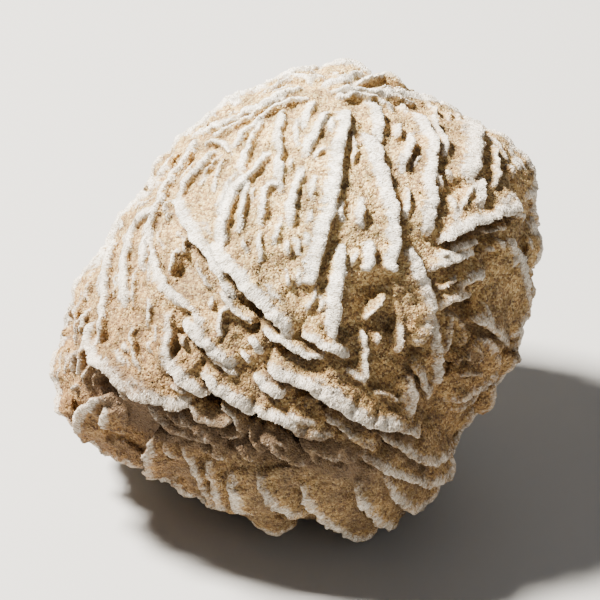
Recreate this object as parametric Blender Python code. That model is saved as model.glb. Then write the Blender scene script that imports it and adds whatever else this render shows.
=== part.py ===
# Gypsum sand rose: one cluster of thin gypsum blades grown through each other in sand.
#
# The body is laid out on a face plane that leans back from the upright. On it u runs to the
# right, v runs up the plane and w stands out of it towards the front, all in millimetres from
# the middle of the rose. The skin is the smooth shape that the blade rims reach, the core is the
# sandy mass a little inside it, and every blade is a wedge-edged plate rooted in the core.

import math
import random

import bmesh
import bpy
from mathutils import Matrix, Vector, noise

for old in list(bpy.data.objects):
    bpy.data.objects.remove(old, do_unlink=True)

MM = 0.001
SEED = 7                    # of the blades on the sides and the back

# Driving dimensions of the body, in millimetres and degrees
FACE_LEAN = 55.0            # the face plane is turned this far up from lying flat
FRONT_DEPTH = 38.0          # how far the skin bulges in front of the face plane
BACK_DEPTH = 37.0           # and behind it
ROUNDNESS = 2.25            # 2 is an ellipsoid, more is boxier
OUTLINE_EDGE = 0.02         # keeps rims on the outline just in front of the face plane
CORE_INSET = 1.9            # sandy core below the skin
CORE_LUMPS = 0.8            # unevenness of the core
CORE_DETAIL = 3             # subdivisions of the core
BASE_DROP = 36.0            # flat resting face below the middle of the rose
CENTRE = (0.835, 0.35)      # middle of the rose from the origin, in plan

# Blades. Seen along its path, a blade falls steeply on the right and slopes away on the left.
ROOT_DEPTH = 5.5            # from the rim to the root
FOOT_DEPTH = 1.2            # how far the foot of the slope is buried in the core
UNDERCUT = 0.3              # lean of the steep side, as a share of the drop
STATION = 7.0               # spacing of the sections along a rim
FEWEST_STATIONS = 4
END_SLOPE = 5.0             # length over which a rim sinks into the core at each end
END_THINNING = 0.4          # share of its width that a rim loses at each end
END_DEPTH = CORE_INSET + 0.7  # how far below the skin it ends
PROUD = 0.35                # how much of a drop beyond the core's inset is stand-out of the rim
INNER_BEND = 0.7            # largest share of a bend's radius that a slope may take

# Radius of the face outline at each angle, counter-clockwise from +u
OUTLINE = [
    (0, 42.6), (14, 45.2), (30, 48.6), (45, 46.6), (62, 44.0), (80, 44.4), (98, 40.6),
    (118, 37.6), (140, 35.8), (160, 36.4), (175, 40.4), (195, 46.4), (208, 48.2), (222, 44.8),
    (240, 41.2), (256, 42.8), (272, 42.2), (290, 45.0), (306, 43.4), (321, 38.9), (340, 40.6),
]

# Hollows in the core: u, v, radius, depth
HOLLOWS = [
    (-7.5, -2.6, 5.5, 2.8), (-21, 6, 4.5, 2.4), (-34.5, -14.5, 4.5, 2.4), (31, -12.5, 5.0, 2.4),
    (-16, -22, 7.0, 2.6), (-6, -26, 7.0, 2.8), (4, -28, 6.5, 2.6), (32, 9.5, 6.0, 1.8),
    (17, -6, 6.0, 1.6), (-30, -25, 7.0, 2.4), (-19, -10, 5.0, 1.6), (30, -3, 5.0, 1.6),
    (10, -20.5, 5.0, 1.8), (14, 2, 5.0, 1.6), (37, 21, 5.0, 1.6),
]

# Each front blade is: rim width, drop of its steep side, reach of its slope, then the path of
# its rim as (u, v).
TOP_FAN = [
    (1.6, 1.4, 3.0, (-6, 40), (-13, 37), (-20, 31.3), (-25, 28.3)),
    (1.5, 1.2, 2.5, (3, 42.8), (-1.8, 42.2), (-6, 40)),
    (1.3, 1.3, 2.0, (-19, 30.6), (-12, 33.2), (-4.5, 37.3), (0.5, 39.6)),
    (1.2, 1.2, 1.8, (-8.2, 37.9), (-1.4, 40.9), (2, 40)),
    (1.2, 1.2, 1.6, (-17, 30), (-9.8, 33.2), (-6.8, 35.5), (-3, 37.8)),
    (1.2, 1.3, 1.8, (-12.5, 27.5), (-9.8, 30.9), (-5.9, 34.5), (-2.7, 35.9), (1.5, 37.8)),
    (1.0, 1.2, 1.6, (-10.6, 22.5), (-10, 26.1), (-8.2, 30.9), (-6.5, 33.5)),
    (1.3, 1.4, 1.8, (-3.3, 19.5), (-3.9, 27.3), (-3.5, 35.3)),
    (1.8, 1.8, 2.2, (-15, 8), (-13.4, 15.2), (-11.6, 20.7), (-8.6, 23.2), (-6, 27.5)),
    (1.6, 1.8, 1.6, (-10.9, 12), (-10.5, 18.2), (-9.3, 22.5)),
    (1.1, 1.3, 1.4, (0.3, 31), (1.5, 34), (2.5, 37)),
    (1.9, 1.8, 2.2, (-1, 23), (1.1, 28.4), (3.6, 33), (6.3, 36.2)),
    (1.4, 1.5, 1.8, (-1.9, 12.5), (-1, 19.5), (0.7, 24.5)),
    (1.0, 1.2, 1.2, (-7, 13), (-6.6, 17.5), (-6, 20.6), (-3, 20.5)),
    (2.4, 2.2, 2.2, (0.8, 1), (2.7, 7.5), (4.1, 12.7), (4.8, 17.7), (6.3, 24.5), (7.3, 31.4), (9, 37)),
    (2.4, 2.4, 1.6, (5, -6), (5.4, -1.5), (7.3, 4.5), (7.9, 11.6)),
    (2.4, 2.2, 2.4, (15.7, 4), (16.3, 14), (15.6, 19), (14, 25), (12.5, 29.5), (10.2, 32.5)),
    (1.7, 1.6, 1.6, (14.4, 28.5), (14.5, 33), (13.2, 36.8)),
    (1.2, 1.4, 2.0, (5.5, 35.9), (10, 37), (14.5, 35.9), (18, 34.2)),
    (1.2, 1.2, 1.8, (4.5, 38.5), (11.4, 38.4), (16, 37.6), (22, 36)),
    (1.3, 1.2, 1.8, (12.5, 42), (8.9, 40.9), (3, 39.5)),
    (1.4, 1.3, 2.0, (10, 39.5), (13, 40.9), (17, 41.2), (20.5, 39.4)),
    (1.6, 1.2, 2.5, (14, 42.3), (8.9, 44), (3.2, 43.4)),
    (1.6, 1.2, 3.0, (30.5, 34.8), (26, 36.3), (20, 37.8), (13, 38)),
    (1.6, 1.8, 1.4, (11.6, 4), (12.7, 8.6), (12.5, 12)),
    (1.1, 1.3, 1.2, (11.2, 12.6), (11, 19)),
    (1.1, 1.4, 1.2, (17.2, 28), (17.9, 31.3), (16.5, 33.4)),
    (1.2, 1.5, 1.2, (18, 22.5), (20.1, 29), (19.8, 33.5)),
    (2.0, 2.0, 2.4, (22.6, 9.5), (23.2, 15), (23.9, 22), (23.6, 30), (20.5, 36.4)),
    (3.2, 1.8, 3.5, (29.5, 20), (31.8, 29), (31.3, 34.8)),
    (1.6, 1.8, 1.6, (33.8, 15.5), (33, 20), (33.3, 24.5)),
    (1.4, 1.6, 5.0, (42.6, 18), (43.1, 22), (41.2, 26), (37.5, 29.7), (33.5, 32.4)),
]

LEFT_FLANK = [
    (1.7, 1.4, 2.4, (-29.2, 6), (-27.5, 13.6), (-25.9, 18.2), (-23.6, 22.7), (-20.5, 26.5), (-19.4, 30)),
    (1.3, 1.4, 2.0, (-22.9, 18.4), (-19.5, 23.2), (-15.6, 28)),
    (1.4, 1.2, 2.5, (-25, 28.3), (-27.3, 23.5), (-28.3, 20.7)),
    (1.6, 1.2, 2.5, (-28, 20.5), (-32, 16.8), (-34.8, 12), (-35, 10)),
    (2.6, 1.4, 2.2, (-32.8, -1.2), (-32.8, 4.5), (-32.6, 9), (-30.7, 14), (-26.5, 17.5)),
    (1.9, 1.6, 2.2, (-38, -8), (-36.6, -3.2), (-36.5, 2), (-35.5, 7.7), (-33.2, 12.4)),
    (1.4, 1.2, 2.5, (-35, 10), (-38.6, 6.4), (-41.6, 2.8), (-42.6, 0.2)),
    (1.5, 1.8, 1.8, (-19.5, -1.5), (-22.3, 0.9), (-25.2, 4.5), (-26.5, 8), (-27.5, 12.5)),
    (2.1, 2.6, 2.4, (-23, 19.2), (-20, 13), (-16, 7.7), (-11.8, 0.3)),
    (2.2, 3.0, 2.4, (-16.5, 10.5), (-13, 6), (-8.2, 0.7), (-4.5, -3.2), (-1.2, -7)),
    (1.6, 2.2, 2.0, (-21.5, -3), (-16.8, -8.4), (-11.5, -12.4)),
    (1.1, 1.3, 1.4, (-22.5, -13), (-23.5, -10), (-23.7, -1.5)),
    (2.6, 3.0, 2.5, (-24, -10.5), (-21.5, -14), (-15.5, -17.3)),
    (2.2, 3.5, 3.0, (-38.5, -3.2), (-37.6, -9.4), (-34.3, -12.7), (-30, -16.6), (-25, -18.2), (-19.5, -19.4)),
    (1.7, 3.2, 2.4, (-8, -5), (-1.4, -8.4), (4.6, -10.9)),
    (1.5, 2.6, 2.0, (-0.5, -6.2), (4.5, -8.4), (9.6, -10.6)),
    (1.2, 1.8, 1.4, (-9.5, -6.6), (-6.2, -9.8)),
]

RIGHT_FLANK = [
    (1.1, 1.6, 1.4, (12.4, -3), (16.6, 1)),
    (1.0, 1.3, 1.3, (18, -10.3), (18.6, -3.4)),
    (1.7, 1.8, 1.5, (20.2, -9.4), (23, -6), (23.8, -2.5), (22.3, 4), (19.6, 10.5)),
    (1.9, 1.9, 1.5, (25.1, -17), (24.5, -9), (24, -2.6)),
    (2.2, 2.4, 1.5, (20, -10.3), (21.6, -14), (23.9, -19.2)),
    (1.4, 1.8, 1.3, (20.1, -22.4), (21, -17.5), (20.3, -12.6)),
    (2.2, 4.0, 3.5, (24.6, 10), (29.3, 12.3), (35.3, 15), (40.3, 17.2)),
    (1.1, 2.2, 1.8, (23.2, 4.9), (28, 7.2), (32.4, 8.5)),
    (1.2, 2.0, 1.8, (28.5, 2.2), (31, 3.5), (34.3, 4.6)),
    (1.4, 2.4, 2.0, (24.6, -1.9), (28, 0), (31.9, 1.5)),
    (1.6, 1.6, 4.0, (39.8, -7.7), (41, -4.5), (42, -0.5), (41.6, 2.5), (39.5, 8.2), (36.4, 12.4)),
    (1.3, 2.4, 1.8, (31.6, -3.6), (36.1, -6.6), (38.4, -9.2)),
    (1.2, 2.4, 2.0, (32.3, -6.6), (35.7, -10.5), (35, -14.3), (31, -17.3), (26.4, -18.8)),
    (1.4, 1.2, 2.5, (43.4, 5), (44.4, 9.5), (42.9, 14.4)),
    (1.2, 1.2, 2.0, (42.2, -3), (43, 1), (43.2, 4.6)),
    (1.3, 1.4, 2.0, (37.5, -14.6), (40, -11), (39.9, -8)),
    (1.2, 1.6, 1.8, (28.2, -20.9), (33.3, -17.2)),
    (1.3, 1.4, 2.0, (33.4, -22), (35.3, -19.5), (36, -16)),
    (1.3, 1.6, 2.0, (29.8, -24.8), (32.4, -20.2)),
]

SHELVES = [
    (2.9, 4.0, 3.2, (-6.5, -11.7), (1, -15), (8, -19), (15.5, -22), (22.8, -24.2)),
    (2.0, 1.6, 1.6, (3.2, -13.7), (7.8, -17.8)),
    (2.6, 2.6, 2.0, (-8.3, -13.2), (-2.7, -17.8)),
    (2.1, 3.4, 2.6, (-17.8, -13.2), (-13, -17.2), (-7.5, -20.4)),
    (1.6, 3.2, 3.0, (-8.4, -18.8), (-1.4, -22.3), (6, -24.6)),
    (1.1, 2.2, 2.0, (4, -21.3), (12.5, -26)),
    (1.4, 2.8, 3.0, (0.5, -24.5), (4.5, -27.7), (10.5, -28.9)),
    (2.0, 3.0, 4.5, (13.5, -24), (19, -26.6), (22.5, -29.3), (25, -29.7), (27.5, -28), (28.3, -25.6)),
    (2.2, 3.2, 4.0, (10, -25.9), (15.5, -29.8), (20, -32.2), (24, -32.7), (26.4, -31.2), (27.4, -29.6)),
    (1.1, 2.2, 1.6, (-27.8, -18.5), (-23.6, -22.7), (-16.7, -25.7)),
    (1.1, 2.2, 1.6, (-20.3, -18.2), (-15, -22), (-12, -22.8)),
]

UNDERSIDE = [
    (2.6, 1.6, 3.0, (-45.5, -8), (-45.3, -12.5), (-44.3, -17), (-44.8, -19.5), (-43, -22.5)),
    (1.3, 2.0, 1.5, (-33.7, -14.2), (-30.8, -18.8)),
    (1.7, 2.2, 2.5, (-35, -17.6), (-38.5, -19), (-40.5, -22.5), (-39.2, -27.6)),
    (1.1, 1.6, 1.3, (-34.9, -18), (-36.3, -24.6)),
    (1.6, 2.4, 3.5, (-26.3, -24), (-27.6, -29.5), (-27.5, -31.8), (-26, -34.2)),
    (1.1, 1.8, 1.6, (-24, -24), (-23.8, -27.3), (-22.3, -30)),
    (1.4, 2.4, 2.5, (-21.8, -26), (-18, -32), (-17.8, -35), (-14.8, -39.6)),
    (1.4, 1.2, 2.0, (-38, -28), (-33, -29.2), (-28.2, -32)),
    (1.4, 1.2, 2.0, (-23.9, -33.2), (-20.7, -35.9), (-17.7, -36.7)),
    (1.3, 1.8, 2.5, (-17.2, -28.8), (-15.7, -34), (-14.7, -38.8)),
    (2.2, 2.0, 3.5, (-12.9, -31), (-12, -36.4), (-10.2, -40)),
    (1.6, 2.0, 4.0, (-7.7, -31.6), (-5.8, -36.2), (-2.2, -38.8), (2, -39.9)),
    (1.7, 2.2, 5.0, (0.1, -33.6), (2.2, -38), (6.5, -41.5), (10.5, -43.4), (15, -42.8)),
    (1.9, 2.4, 3.0, (9.6, -33), (12, -37.8), (15.5, -41), (19, -41.9)),
    (2.2, 2.6, 2.6, (15.3, -31.6), (17.5, -35.5), (20.6, -37.8), (24.5, -37.8)),
    (1.6, 1.2, 2.5, (-9.8, -41.3), (-3.6, -42.8), (-0.3, -41.7)),
    (1.3, 1.4, 2.0, (27.5, -34), (28.4, -30.7), (29, -27.8)),
]

# Blades of the sides and the back.
# Streaks run on from the crown, down the back: distance past the outline, length, count.
CROWN = (4, 37)
STREAK_SPAN = (-28, 208)
STREAKS = [(2, 30, 12), (21, 30, 11), (41, 24, 9)]
# Long blades that cross the streaks: bearing and height in degrees, heading, length.
CROSSINGS = [(58, 30, 215, 34), (128, 26, -28, 36), (92, -4, 200, 34), (20, -6, 40, 30), (158, -10, 150, 28)]
# A tier is a run of overlapping shelves: first and last bearing, height, count, length, tilt.
TIERS = [
    (12, 95, -10, 4, 22, 12), (95, 172, -14, 4, 22, -10), (5, 178, -30, 7, 22, 8),
    (10, 175, -46, 4, 22, -8),
]
# A rosette is a ring of petals: bearing, height, radius, petals.
ROSETTES = [(112, 44, 9.0, 5), (44, 8, 8.0, 5)]


def outlineRadius(angle):
    # Smooth closed curve through the outline's points
    degrees = math.degrees(angle) % 360
    count = len(OUTLINE)
    after = next((i for i, (mark, _) in enumerate(OUTLINE) if mark > degrees), count)
    marks = []
    radii = []
    for step in range(-2, 2):
        turns, index = divmod(after + step, count)
        marks.append(OUTLINE[index][0] + 360 * turns)
        radii.append(OUTLINE[index][1])
    share = (degrees - marks[1]) / (marks[2] - marks[1])
    slopeIn = (radii[2] - radii[0]) / (marks[2] - marks[0]) * (marks[2] - marks[1])
    slopeOut = (radii[3] - radii[1]) / (marks[3] - marks[1]) * (marks[2] - marks[1])
    rise = radii[2] - radii[1]
    cubic = slopeIn + slopeOut - 2 * rise
    square = 3 * rise - 2 * slopeIn - slopeOut
    return radii[1] + share * (slopeIn + share * (square + share * cubic))


def fullness(point):
    # 1 on the skin, less inside
    across = math.hypot(point.x, point.y) / outlineRadius(math.atan2(point.y, point.x))
    depth = point.z / (FRONT_DEPTH if point.z > 0 else BACK_DEPTH)
    return across ** ROUNDNESS + abs(depth) ** ROUNDNESS


def skinAlong(direction):
    return direction / fullness(direction) ** (1 / ROUNDNESS)


def skinOver(u, v):
    # Point of the front skin above a place on the face plane
    across = math.hypot(u, v) / outlineRadius(math.atan2(v, u))
    left = max(OUTLINE_EDGE, 1 - across ** ROUNDNESS)
    return Vector((u, v, FRONT_DEPTH * left ** (1 / ROUNDNESS)))


def skinNormal(point):
    step = 0.5
    slope = []
    for axis in range(3):
        side = Vector((0, 0, 0))
        side[axis] = step
        slope.append(fullness(point + side) - fullness(point - side))
    return Vector(slope).normalized()


def worldToFace(vector):
    return Matrix.Rotation(math.radians(-FACE_LEAN), 3, "X") @ vector


def towards(bearing, height):
    # Unit direction on the face plane's axes, from a plan bearing and a height angle
    turn = math.radians(bearing)
    rise = math.radians(height)
    flat = Vector((math.cos(turn) * math.cos(rise), math.sin(turn) * math.cos(rise), math.sin(rise)))
    return worldToFace(flat)


def smoothPath(points):
    # Stations on a Catmull-Rom curve through the given points, closer together near its ends
    ends = [2 * points[0] - points[1]] + points + [2 * points[-1] - points[-2]]
    fine = []
    for a, b, c, d in zip(ends, ends[1:], ends[2:], ends[3:]):
        for part in range(12):
            t = part / 12
            bend = 2 * a - 5 * b + 4 * c - d
            twist = 3 * b - a - 3 * c + d
            fine.append(0.5 * (2 * b + t * (c - a) + t * t * bend + t * t * t * twist))
    fine.append(points[-1])
    lengths = [0.0]
    for a, b in zip(fine, fine[1:]):
        lengths.append(lengths[-1] + (b - a).length)
    count = max(FEWEST_STATIONS, round(lengths[-1] / STATION) + 1)
    path = []
    for index in range(count):
        goal = lengths[-1] * (1 - math.cos(math.pi * index / (count - 1))) / 2
        after = next(i for i, length in enumerate(lengths) if length >= goal - 1e-9)
        before = max(after - 1, 0)
        gap = lengths[after] - lengths[before]
        share = (goal - lengths[before]) / gap if gap else 0
        path.append(fine[before].lerp(fine[after], share))
    return path


def travel(point, heading, length, bend=0):
    # Points of a walk over the skin that turns by the bend, in degrees, over its length
    steps = 4
    points = [point]
    for _ in range(steps):
        point = skinAlong(point + heading * (length / steps))
        heading = Matrix.Rotation(math.radians(bend / steps), 3, skinNormal(point)) @ heading
        points.append(point)
    return points


def flatten(direction, normal):
    # Unit heading that lies in the skin
    return (direction - direction.dot(normal) * normal).normalized()


def headingAt(point, compass):
    # Direction in the skin: 0 runs to growing bearing, 90 runs up, 180 back
    normal = skinNormal(point)
    up = worldToFace(Vector((0, 0, 1)))
    along = up.cross(normal).normalized()
    rise = normal.cross(along)
    turn = math.radians(compass)
    return along * math.cos(turn) + rise * math.sin(turn)


def bendRadius(before, here, after, aside):
    # Radius of the path where it turns towards its left, and far larger where it doesn't
    turn = (after - here).normalized() - (here - before).normalized()
    return (after - before).length / 2 / max(turn.dot(aside), 0.01)


def makeBlade(path, width, drop, slope, place):
    # Ridge swept along its rim: steep or undercut on the right, sloping on the left, sinking
    # into the core at both ends
    shape = bmesh.new()
    last = len(path) - 1
    runs = [(b - a).length for a, b in zip(path, path[1:])]
    ramp = min(END_SLOPE, sum(runs) / 2)
    rows = []
    for index, rim in enumerate(path):
        before = path[max(index - 1, 0)]
        after = path[min(index + 1, last)]
        outward = skinNormal(rim)
        aside = outward.cross(after - before).normalized()
        reach = slope
        if 0 < index < last:
            reach = min(slope, INNER_BEND * bendRadius(before, rim, after, aside))
        nearest = min(sum(runs[:index]), sum(runs[index:]))
        end = 1 - math.sqrt(1 - max(0, 1 - nearest / ramp) ** 2)
        crest = PROUD * (drop - CORE_INSET) * (1 - end) - END_DEPTH * end
        half = width / 2 * (1 - END_THINNING * end)
        section = (
            (-half, crest),
            (half, crest - 0.1 * width),
            (half + reach, -CORE_INSET - FOOT_DEPTH),
            (UNDERCUT * drop - half, crest - ROOT_DEPTH),
        )
        rows.append([shape.verts.new(rim + aside * x + outward * y) for x, y in section])
    for here, there in zip(rows, rows[1:]):
        for side in range(4):
            other = (side + 1) % 4
            shape.faces.new((here[side], here[other], there[other], there[side]))
    shape.faces.new(reversed(rows[0]))
    shape.faces.new(rows[-1])
    bmesh.ops.recalc_face_normals(shape, faces=shape.faces)
    shape.transform(place)
    mesh = bpy.data.meshes.new("blade")
    shape.to_mesh(mesh)
    shape.free()
    return mesh


def frontBlades():
    for row in TOP_FAN + LEFT_FLANK + RIGHT_FLANK + SHELVES + UNDERSIDE:
        width, drop, slope, *marks = row
        flat = smoothPath([Vector((u, v, 0)) for u, v in marks])
        yield [skinOver(point.x, point.y) for point in flat], width, drop, slope


def streaks(chance):
    crown = skinOver(*CROWN)
    first, final = STREAK_SPAN
    for advance, length, count in STREAKS:
        for index in range(count):
            turn = math.radians(first + (final - first) * (index + chance.uniform(0.2, 0.8)) / count)
            edge = skinAlong(Vector((math.cos(turn), math.sin(turn), 0)))
            way = travel(edge, flatten(edge - crown, skinNormal(edge)), advance)
            heading = flatten(way[-1] - way[-2], skinNormal(way[-1]))
            swerve = Matrix.Rotation(math.radians(chance.uniform(-16, 16)), 3, skinNormal(way[-1]))
            reach = length * chance.uniform(0.8, 1.15)
            path = smoothPath(travel(way[-1], swerve @ heading, reach, chance.uniform(-25, 25)))
            if chance.random() < 0.5:
                path.reverse()
            yield path, chance.uniform(1.2, 2.3), chance.uniform(1.3, 2.3), chance.uniform(1.5, 3)


def shelves(chance):
    for first, final, height, count, length, tilt in TIERS:
        for index in range(count):
            bearing = first + (final - first) * (index + chance.uniform(-0.2, 0.2)) / count
            start = skinAlong(towards(bearing, height + chance.uniform(-4, 4)))
            heading = headingAt(start, tilt + chance.uniform(-10, 10))
            path = travel(start, heading, length * chance.uniform(0.8, 1.2), chance.uniform(-10, 30))
            yield smoothPath(path), chance.uniform(1.3, 2.3), chance.uniform(2.4, 3.6), chance.uniform(2.5, 4)


def rosettes(chance):
    for bearing, height, radius, petals in ROSETTES:
        middle = skinAlong(towards(bearing, height))
        for index in range(petals):
            compass = 360 * index / petals + chance.uniform(-12, 12)
            start = skinAlong(middle + headingAt(middle, compass) * radius * chance.uniform(0.6, 1.1))
            path = travel(start, headingAt(start, compass + 60), radius * chance.uniform(1.4, 1.9), 60)
            yield smoothPath(path), chance.uniform(1.1, 1.7), chance.uniform(1.6, 2.4), chance.uniform(1.5, 3)


def backBlades():
    chance = random.Random(SEED)
    yield from streaks(chance)
    for bearing, height, compass, length in CROSSINGS:
        start = skinAlong(towards(bearing, height))
        yield smoothPath(travel(start, headingAt(start, compass), length, 20)), 2.2, 2.8, 2.6
    yield from shelves(chance)
    yield from rosettes(chance)


def makeCore(place):
    # Rounded mass shaped from an icosphere, sunk below the skin, lumpy and hollowed
    shape = bmesh.new()
    bmesh.ops.create_icosphere(shape, subdivisions=CORE_DETAIL, radius=1)
    for vert in shape.verts:
        point = skinAlong(vert.co.normalized())
        sink = CORE_INSET + CORE_LUMPS * noise.noise(point / 9)
        for u, v, radius, depth in HOLLOWS:
            away = math.hypot(point.x - u, point.y - v) / radius
            if point.z > 0 and away < 1.6:
                sink += depth * math.exp(-2 * away * away)
        vert.co = point - skinNormal(point) * sink
    bmesh.ops.recalc_face_normals(shape, faces=shape.faces)
    shape.transform(place)
    mesh = bpy.data.meshes.new("core")
    shape.to_mesh(mesh)
    shape.free()
    return mesh


def makeCutter():
    # Block under the resting face, which trims the body flat
    size = 0.2
    bpy.ops.mesh.primitive_cube_add(size=size, location=(0, 0, -size / 2))
    cutter = bpy.context.object
    cutter.name = "base_cutter"
    cutter.hide_render = True
    cutter.display_type = "WIRE"
    return cutter


def gypsum():
    material = bpy.data.materials.new("gypsum")
    material.use_nodes = True
    shader = material.node_tree.nodes["Principled BSDF"]
    shader.inputs["Base Color"].default_value = (0.64, 0.52, 0.38, 1)
    shader.inputs["Roughness"].default_value = 0.9
    shader.inputs["Metallic"].default_value = 0.0
    return material


def makeRose():
    lift = Matrix.Translation((CENTRE[0] * MM, CENTRE[1] * MM, BASE_DROP * MM))
    place = lift @ Matrix.Rotation(math.radians(FACE_LEAN), 4, "X") @ Matrix.Scale(MM, 4)
    rose = bpy.data.objects.new("sand_rose", makeCore(place))
    bpy.context.scene.collection.objects.link(rose)
    rose.data.materials.append(gypsum())
    blades = bpy.data.collections.new("blades")
    bpy.context.scene.collection.children.link(blades)
    for path, width, drop, slope in [*frontBlades(), *backBlades()]:
        blade = bpy.data.objects.new("blade", makeBlade(path, width, drop, slope, place))
        blade.hide_render = True
        blade.display_type = "WIRE"
        blades.objects.link(blade)
    grow = rose.modifiers.new("grow", "BOOLEAN")
    grow.operation = "UNION"
    grow.solver = "MANIFOLD"
    grow.operand_type = "COLLECTION"
    grow.collection = blades
    trim = rose.modifiers.new("trim", "BOOLEAN")
    trim.operation = "DIFFERENCE"
    trim.solver = "MANIFOLD"
    trim.object = makeCutter()
    return rose


makeRose()
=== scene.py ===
import math
import random
import bmesh
import bpy
import numpy as np
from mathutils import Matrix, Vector, noise
from mathutils.kdtree import KDTree


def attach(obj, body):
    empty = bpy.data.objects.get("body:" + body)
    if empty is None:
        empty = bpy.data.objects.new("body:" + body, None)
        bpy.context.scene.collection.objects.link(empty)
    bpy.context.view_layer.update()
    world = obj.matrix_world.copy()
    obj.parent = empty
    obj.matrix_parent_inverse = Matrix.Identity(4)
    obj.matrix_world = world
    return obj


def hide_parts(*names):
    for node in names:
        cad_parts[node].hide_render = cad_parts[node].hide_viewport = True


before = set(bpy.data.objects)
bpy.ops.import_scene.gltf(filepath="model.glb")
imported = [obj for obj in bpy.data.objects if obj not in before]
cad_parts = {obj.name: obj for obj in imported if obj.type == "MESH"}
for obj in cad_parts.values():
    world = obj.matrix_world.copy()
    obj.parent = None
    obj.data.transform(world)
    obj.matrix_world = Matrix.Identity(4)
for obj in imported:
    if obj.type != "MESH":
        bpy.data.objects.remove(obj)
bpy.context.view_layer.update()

mm = 0.001

body = {
    "lean": 55.0,               # degrees that the face plane is turned up from lying flat
    "middle": (0.835, 0.35, 36.0),  # mm from the origin
    "frontDepth": 38.0,         # mm that the skin bulges in front of the face plane
    "backDepth": 37.0,          # and behind it
    "roundness": 2.25,          # 2 is an ellipsoid, more is boxier
    "edge": 0.02,               # keeps the skin's front from closing at its outline
    "inset": 2.3,               # mm from the skin down to the sandy core
    "lumps": 0.8,               # mm that the core rises and falls
    "lumpSize": 9,
    "detail": 6,                # subdivisions of the core
    # the groove dug under a steep side: its width, what each mm of drop widens it by, its depth,
    # and the drop from which each further mm deepens it by one
    "grooveWidth": 0.5, "grooveWiden": 0.55, "grooveDepth": 0.1, "grooveFrom": 2.0,
}
turn = math.radians(body["lean"])
middle = Vector(body["middle"]) * mm

view = {
    "distance": 1.2,            # metres from the middle of the rose
    "frameWidth": 0.1091,       # metres seen across the picture there
    "sensor": 36.0,
}
toEye = Vector((0, -math.sin(turn), math.cos(turn)))


# ---- mesh helpers

def meshOf(shape, name):
    mesh = bpy.data.meshes.new(name)
    shape.to_mesh(mesh)
    shape.free()
    return mesh


def addObject(name, mesh):
    piece = bpy.data.objects.new(name, mesh)
    bpy.context.scene.collection.objects.link(piece)
    return piece


def bake(piece):
    # the shape that the live modifiers give, as a plain mesh
    graph = bpy.context.evaluated_depsgraph_get()
    mesh = bpy.data.meshes.new_from_object(piece.evaluated_get(graph))
    piece.modifiers.clear()
    old = piece.data
    piece.data = mesh
    bpy.data.meshes.remove(old)
    return piece


def coordinates(mesh):
    values = np.empty(len(mesh.vertices) * 3)
    mesh.vertices.foreach_get("co", values)
    return values.reshape(-1, 3)


def setPoint(mesh, name, values):
    layer = mesh.attributes.new(name, "FLOAT", "POINT")
    layer.data.foreach_set("value", values.astype(np.float32))


def pointValues(mesh, name):
    values = np.empty(len(mesh.vertices), dtype=np.float32)
    mesh.attributes[name].data.foreach_get("value", values)
    return values


def placeVerts(verts, places):
    for vert, place in zip(verts, places):
        vert.co = place


def merge(shape, part):
    # add one shape's faces to another
    mesh = meshOf(part, "part")
    shape.from_mesh(mesh)
    bpy.data.meshes.remove(mesh)


def ramp(values, low, high):
    t = np.clip((values - low) / (high - low), 0, 1)
    return t * t * (3 - 2 * t)


def unit(vectors):
    return vectors / np.linalg.norm(vectors, axis=-1, keepdims=True)


def toWorld(points):
    # from the face plane's right, up and outward, in mm, to metres in the frame
    u, v, w = np.moveaxis(points, -1, 0)
    cos, sin = math.cos(turn), math.sin(turn)
    return (np.stack([u, v * cos - w * sin, v * sin + w * cos], axis=-1) + body["middle"]) * mm


def toFace(places):
    x, y, z = np.moveaxis(places / mm - body["middle"], -1, 0)
    cos, sin = math.cos(turn), math.sin(turn)
    return np.stack([x, y * cos + z * sin, z * cos - y * sin], axis=-1)


# ---- the skin that the crests reach: right, up and outward from the middle, in mm

# radius of the face outline at each angle, counter-clockwise from the right
outline = np.array([
    (0, 42.6), (14, 45.2), (30, 48.6), (45, 46.6), (62, 44.0), (80, 44.4), (98, 40.6),
    (118, 37.6), (140, 35.8), (160, 36.4), (175, 40.4), (195, 46.4), (208, 48.2), (222, 44.8),
    (240, 41.2), (256, 42.8), (272, 42.2), (290, 45.0), (306, 43.4), (321, 38.9), (340, 40.6),
])


def outlineRadius(angles):
    # smooth closed curve through the outline's points
    degrees = np.degrees(angles) % 360
    count = len(outline)
    after = np.searchsorted(outline[:, 0], degrees, side="right")
    picks = [after + step for step in (-2, -1, 0, 1)]
    marks = [outline[pick % count, 0] + 360 * (pick // count) for pick in picks]
    radii = [outline[pick % count, 1] for pick in picks]
    gap = marks[2] - marks[1]
    share = (degrees - marks[1]) / gap
    slopeIn = (radii[2] - radii[0]) / (marks[2] - marks[0]) * gap
    slopeOut = (radii[3] - radii[1]) / (marks[3] - marks[1]) * gap
    rise = radii[2] - radii[1]
    square = 3 * rise - 2 * slopeIn - slopeOut
    return radii[1] + share * (slopeIn + share * (square + share * (slopeIn + slopeOut - 2 * rise)))


def fullness(points):
    # 1 on the skin, less inside
    u, v, w = np.moveaxis(points, -1, 0)
    across = np.hypot(u, v) / outlineRadius(np.arctan2(v, u))
    depth = np.where(w > 0, w / body["frontDepth"], -w / body["backDepth"])
    return across ** body["roundness"] + depth ** body["roundness"]


def skinAlong(points):
    return points / (fullness(points) ** (1 / body["roundness"]))[..., None]


def skinOver(flat):
    # points of the front skin over places on the face plane
    u, v = flat[:, 0], flat[:, 1]
    across = np.hypot(u, v) / outlineRadius(np.arctan2(v, u))
    left = np.maximum(body["edge"], 1 - across ** body["roundness"])
    return np.stack([u, v, body["frontDepth"] * left ** (1 / body["roundness"])], axis=-1)


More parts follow.
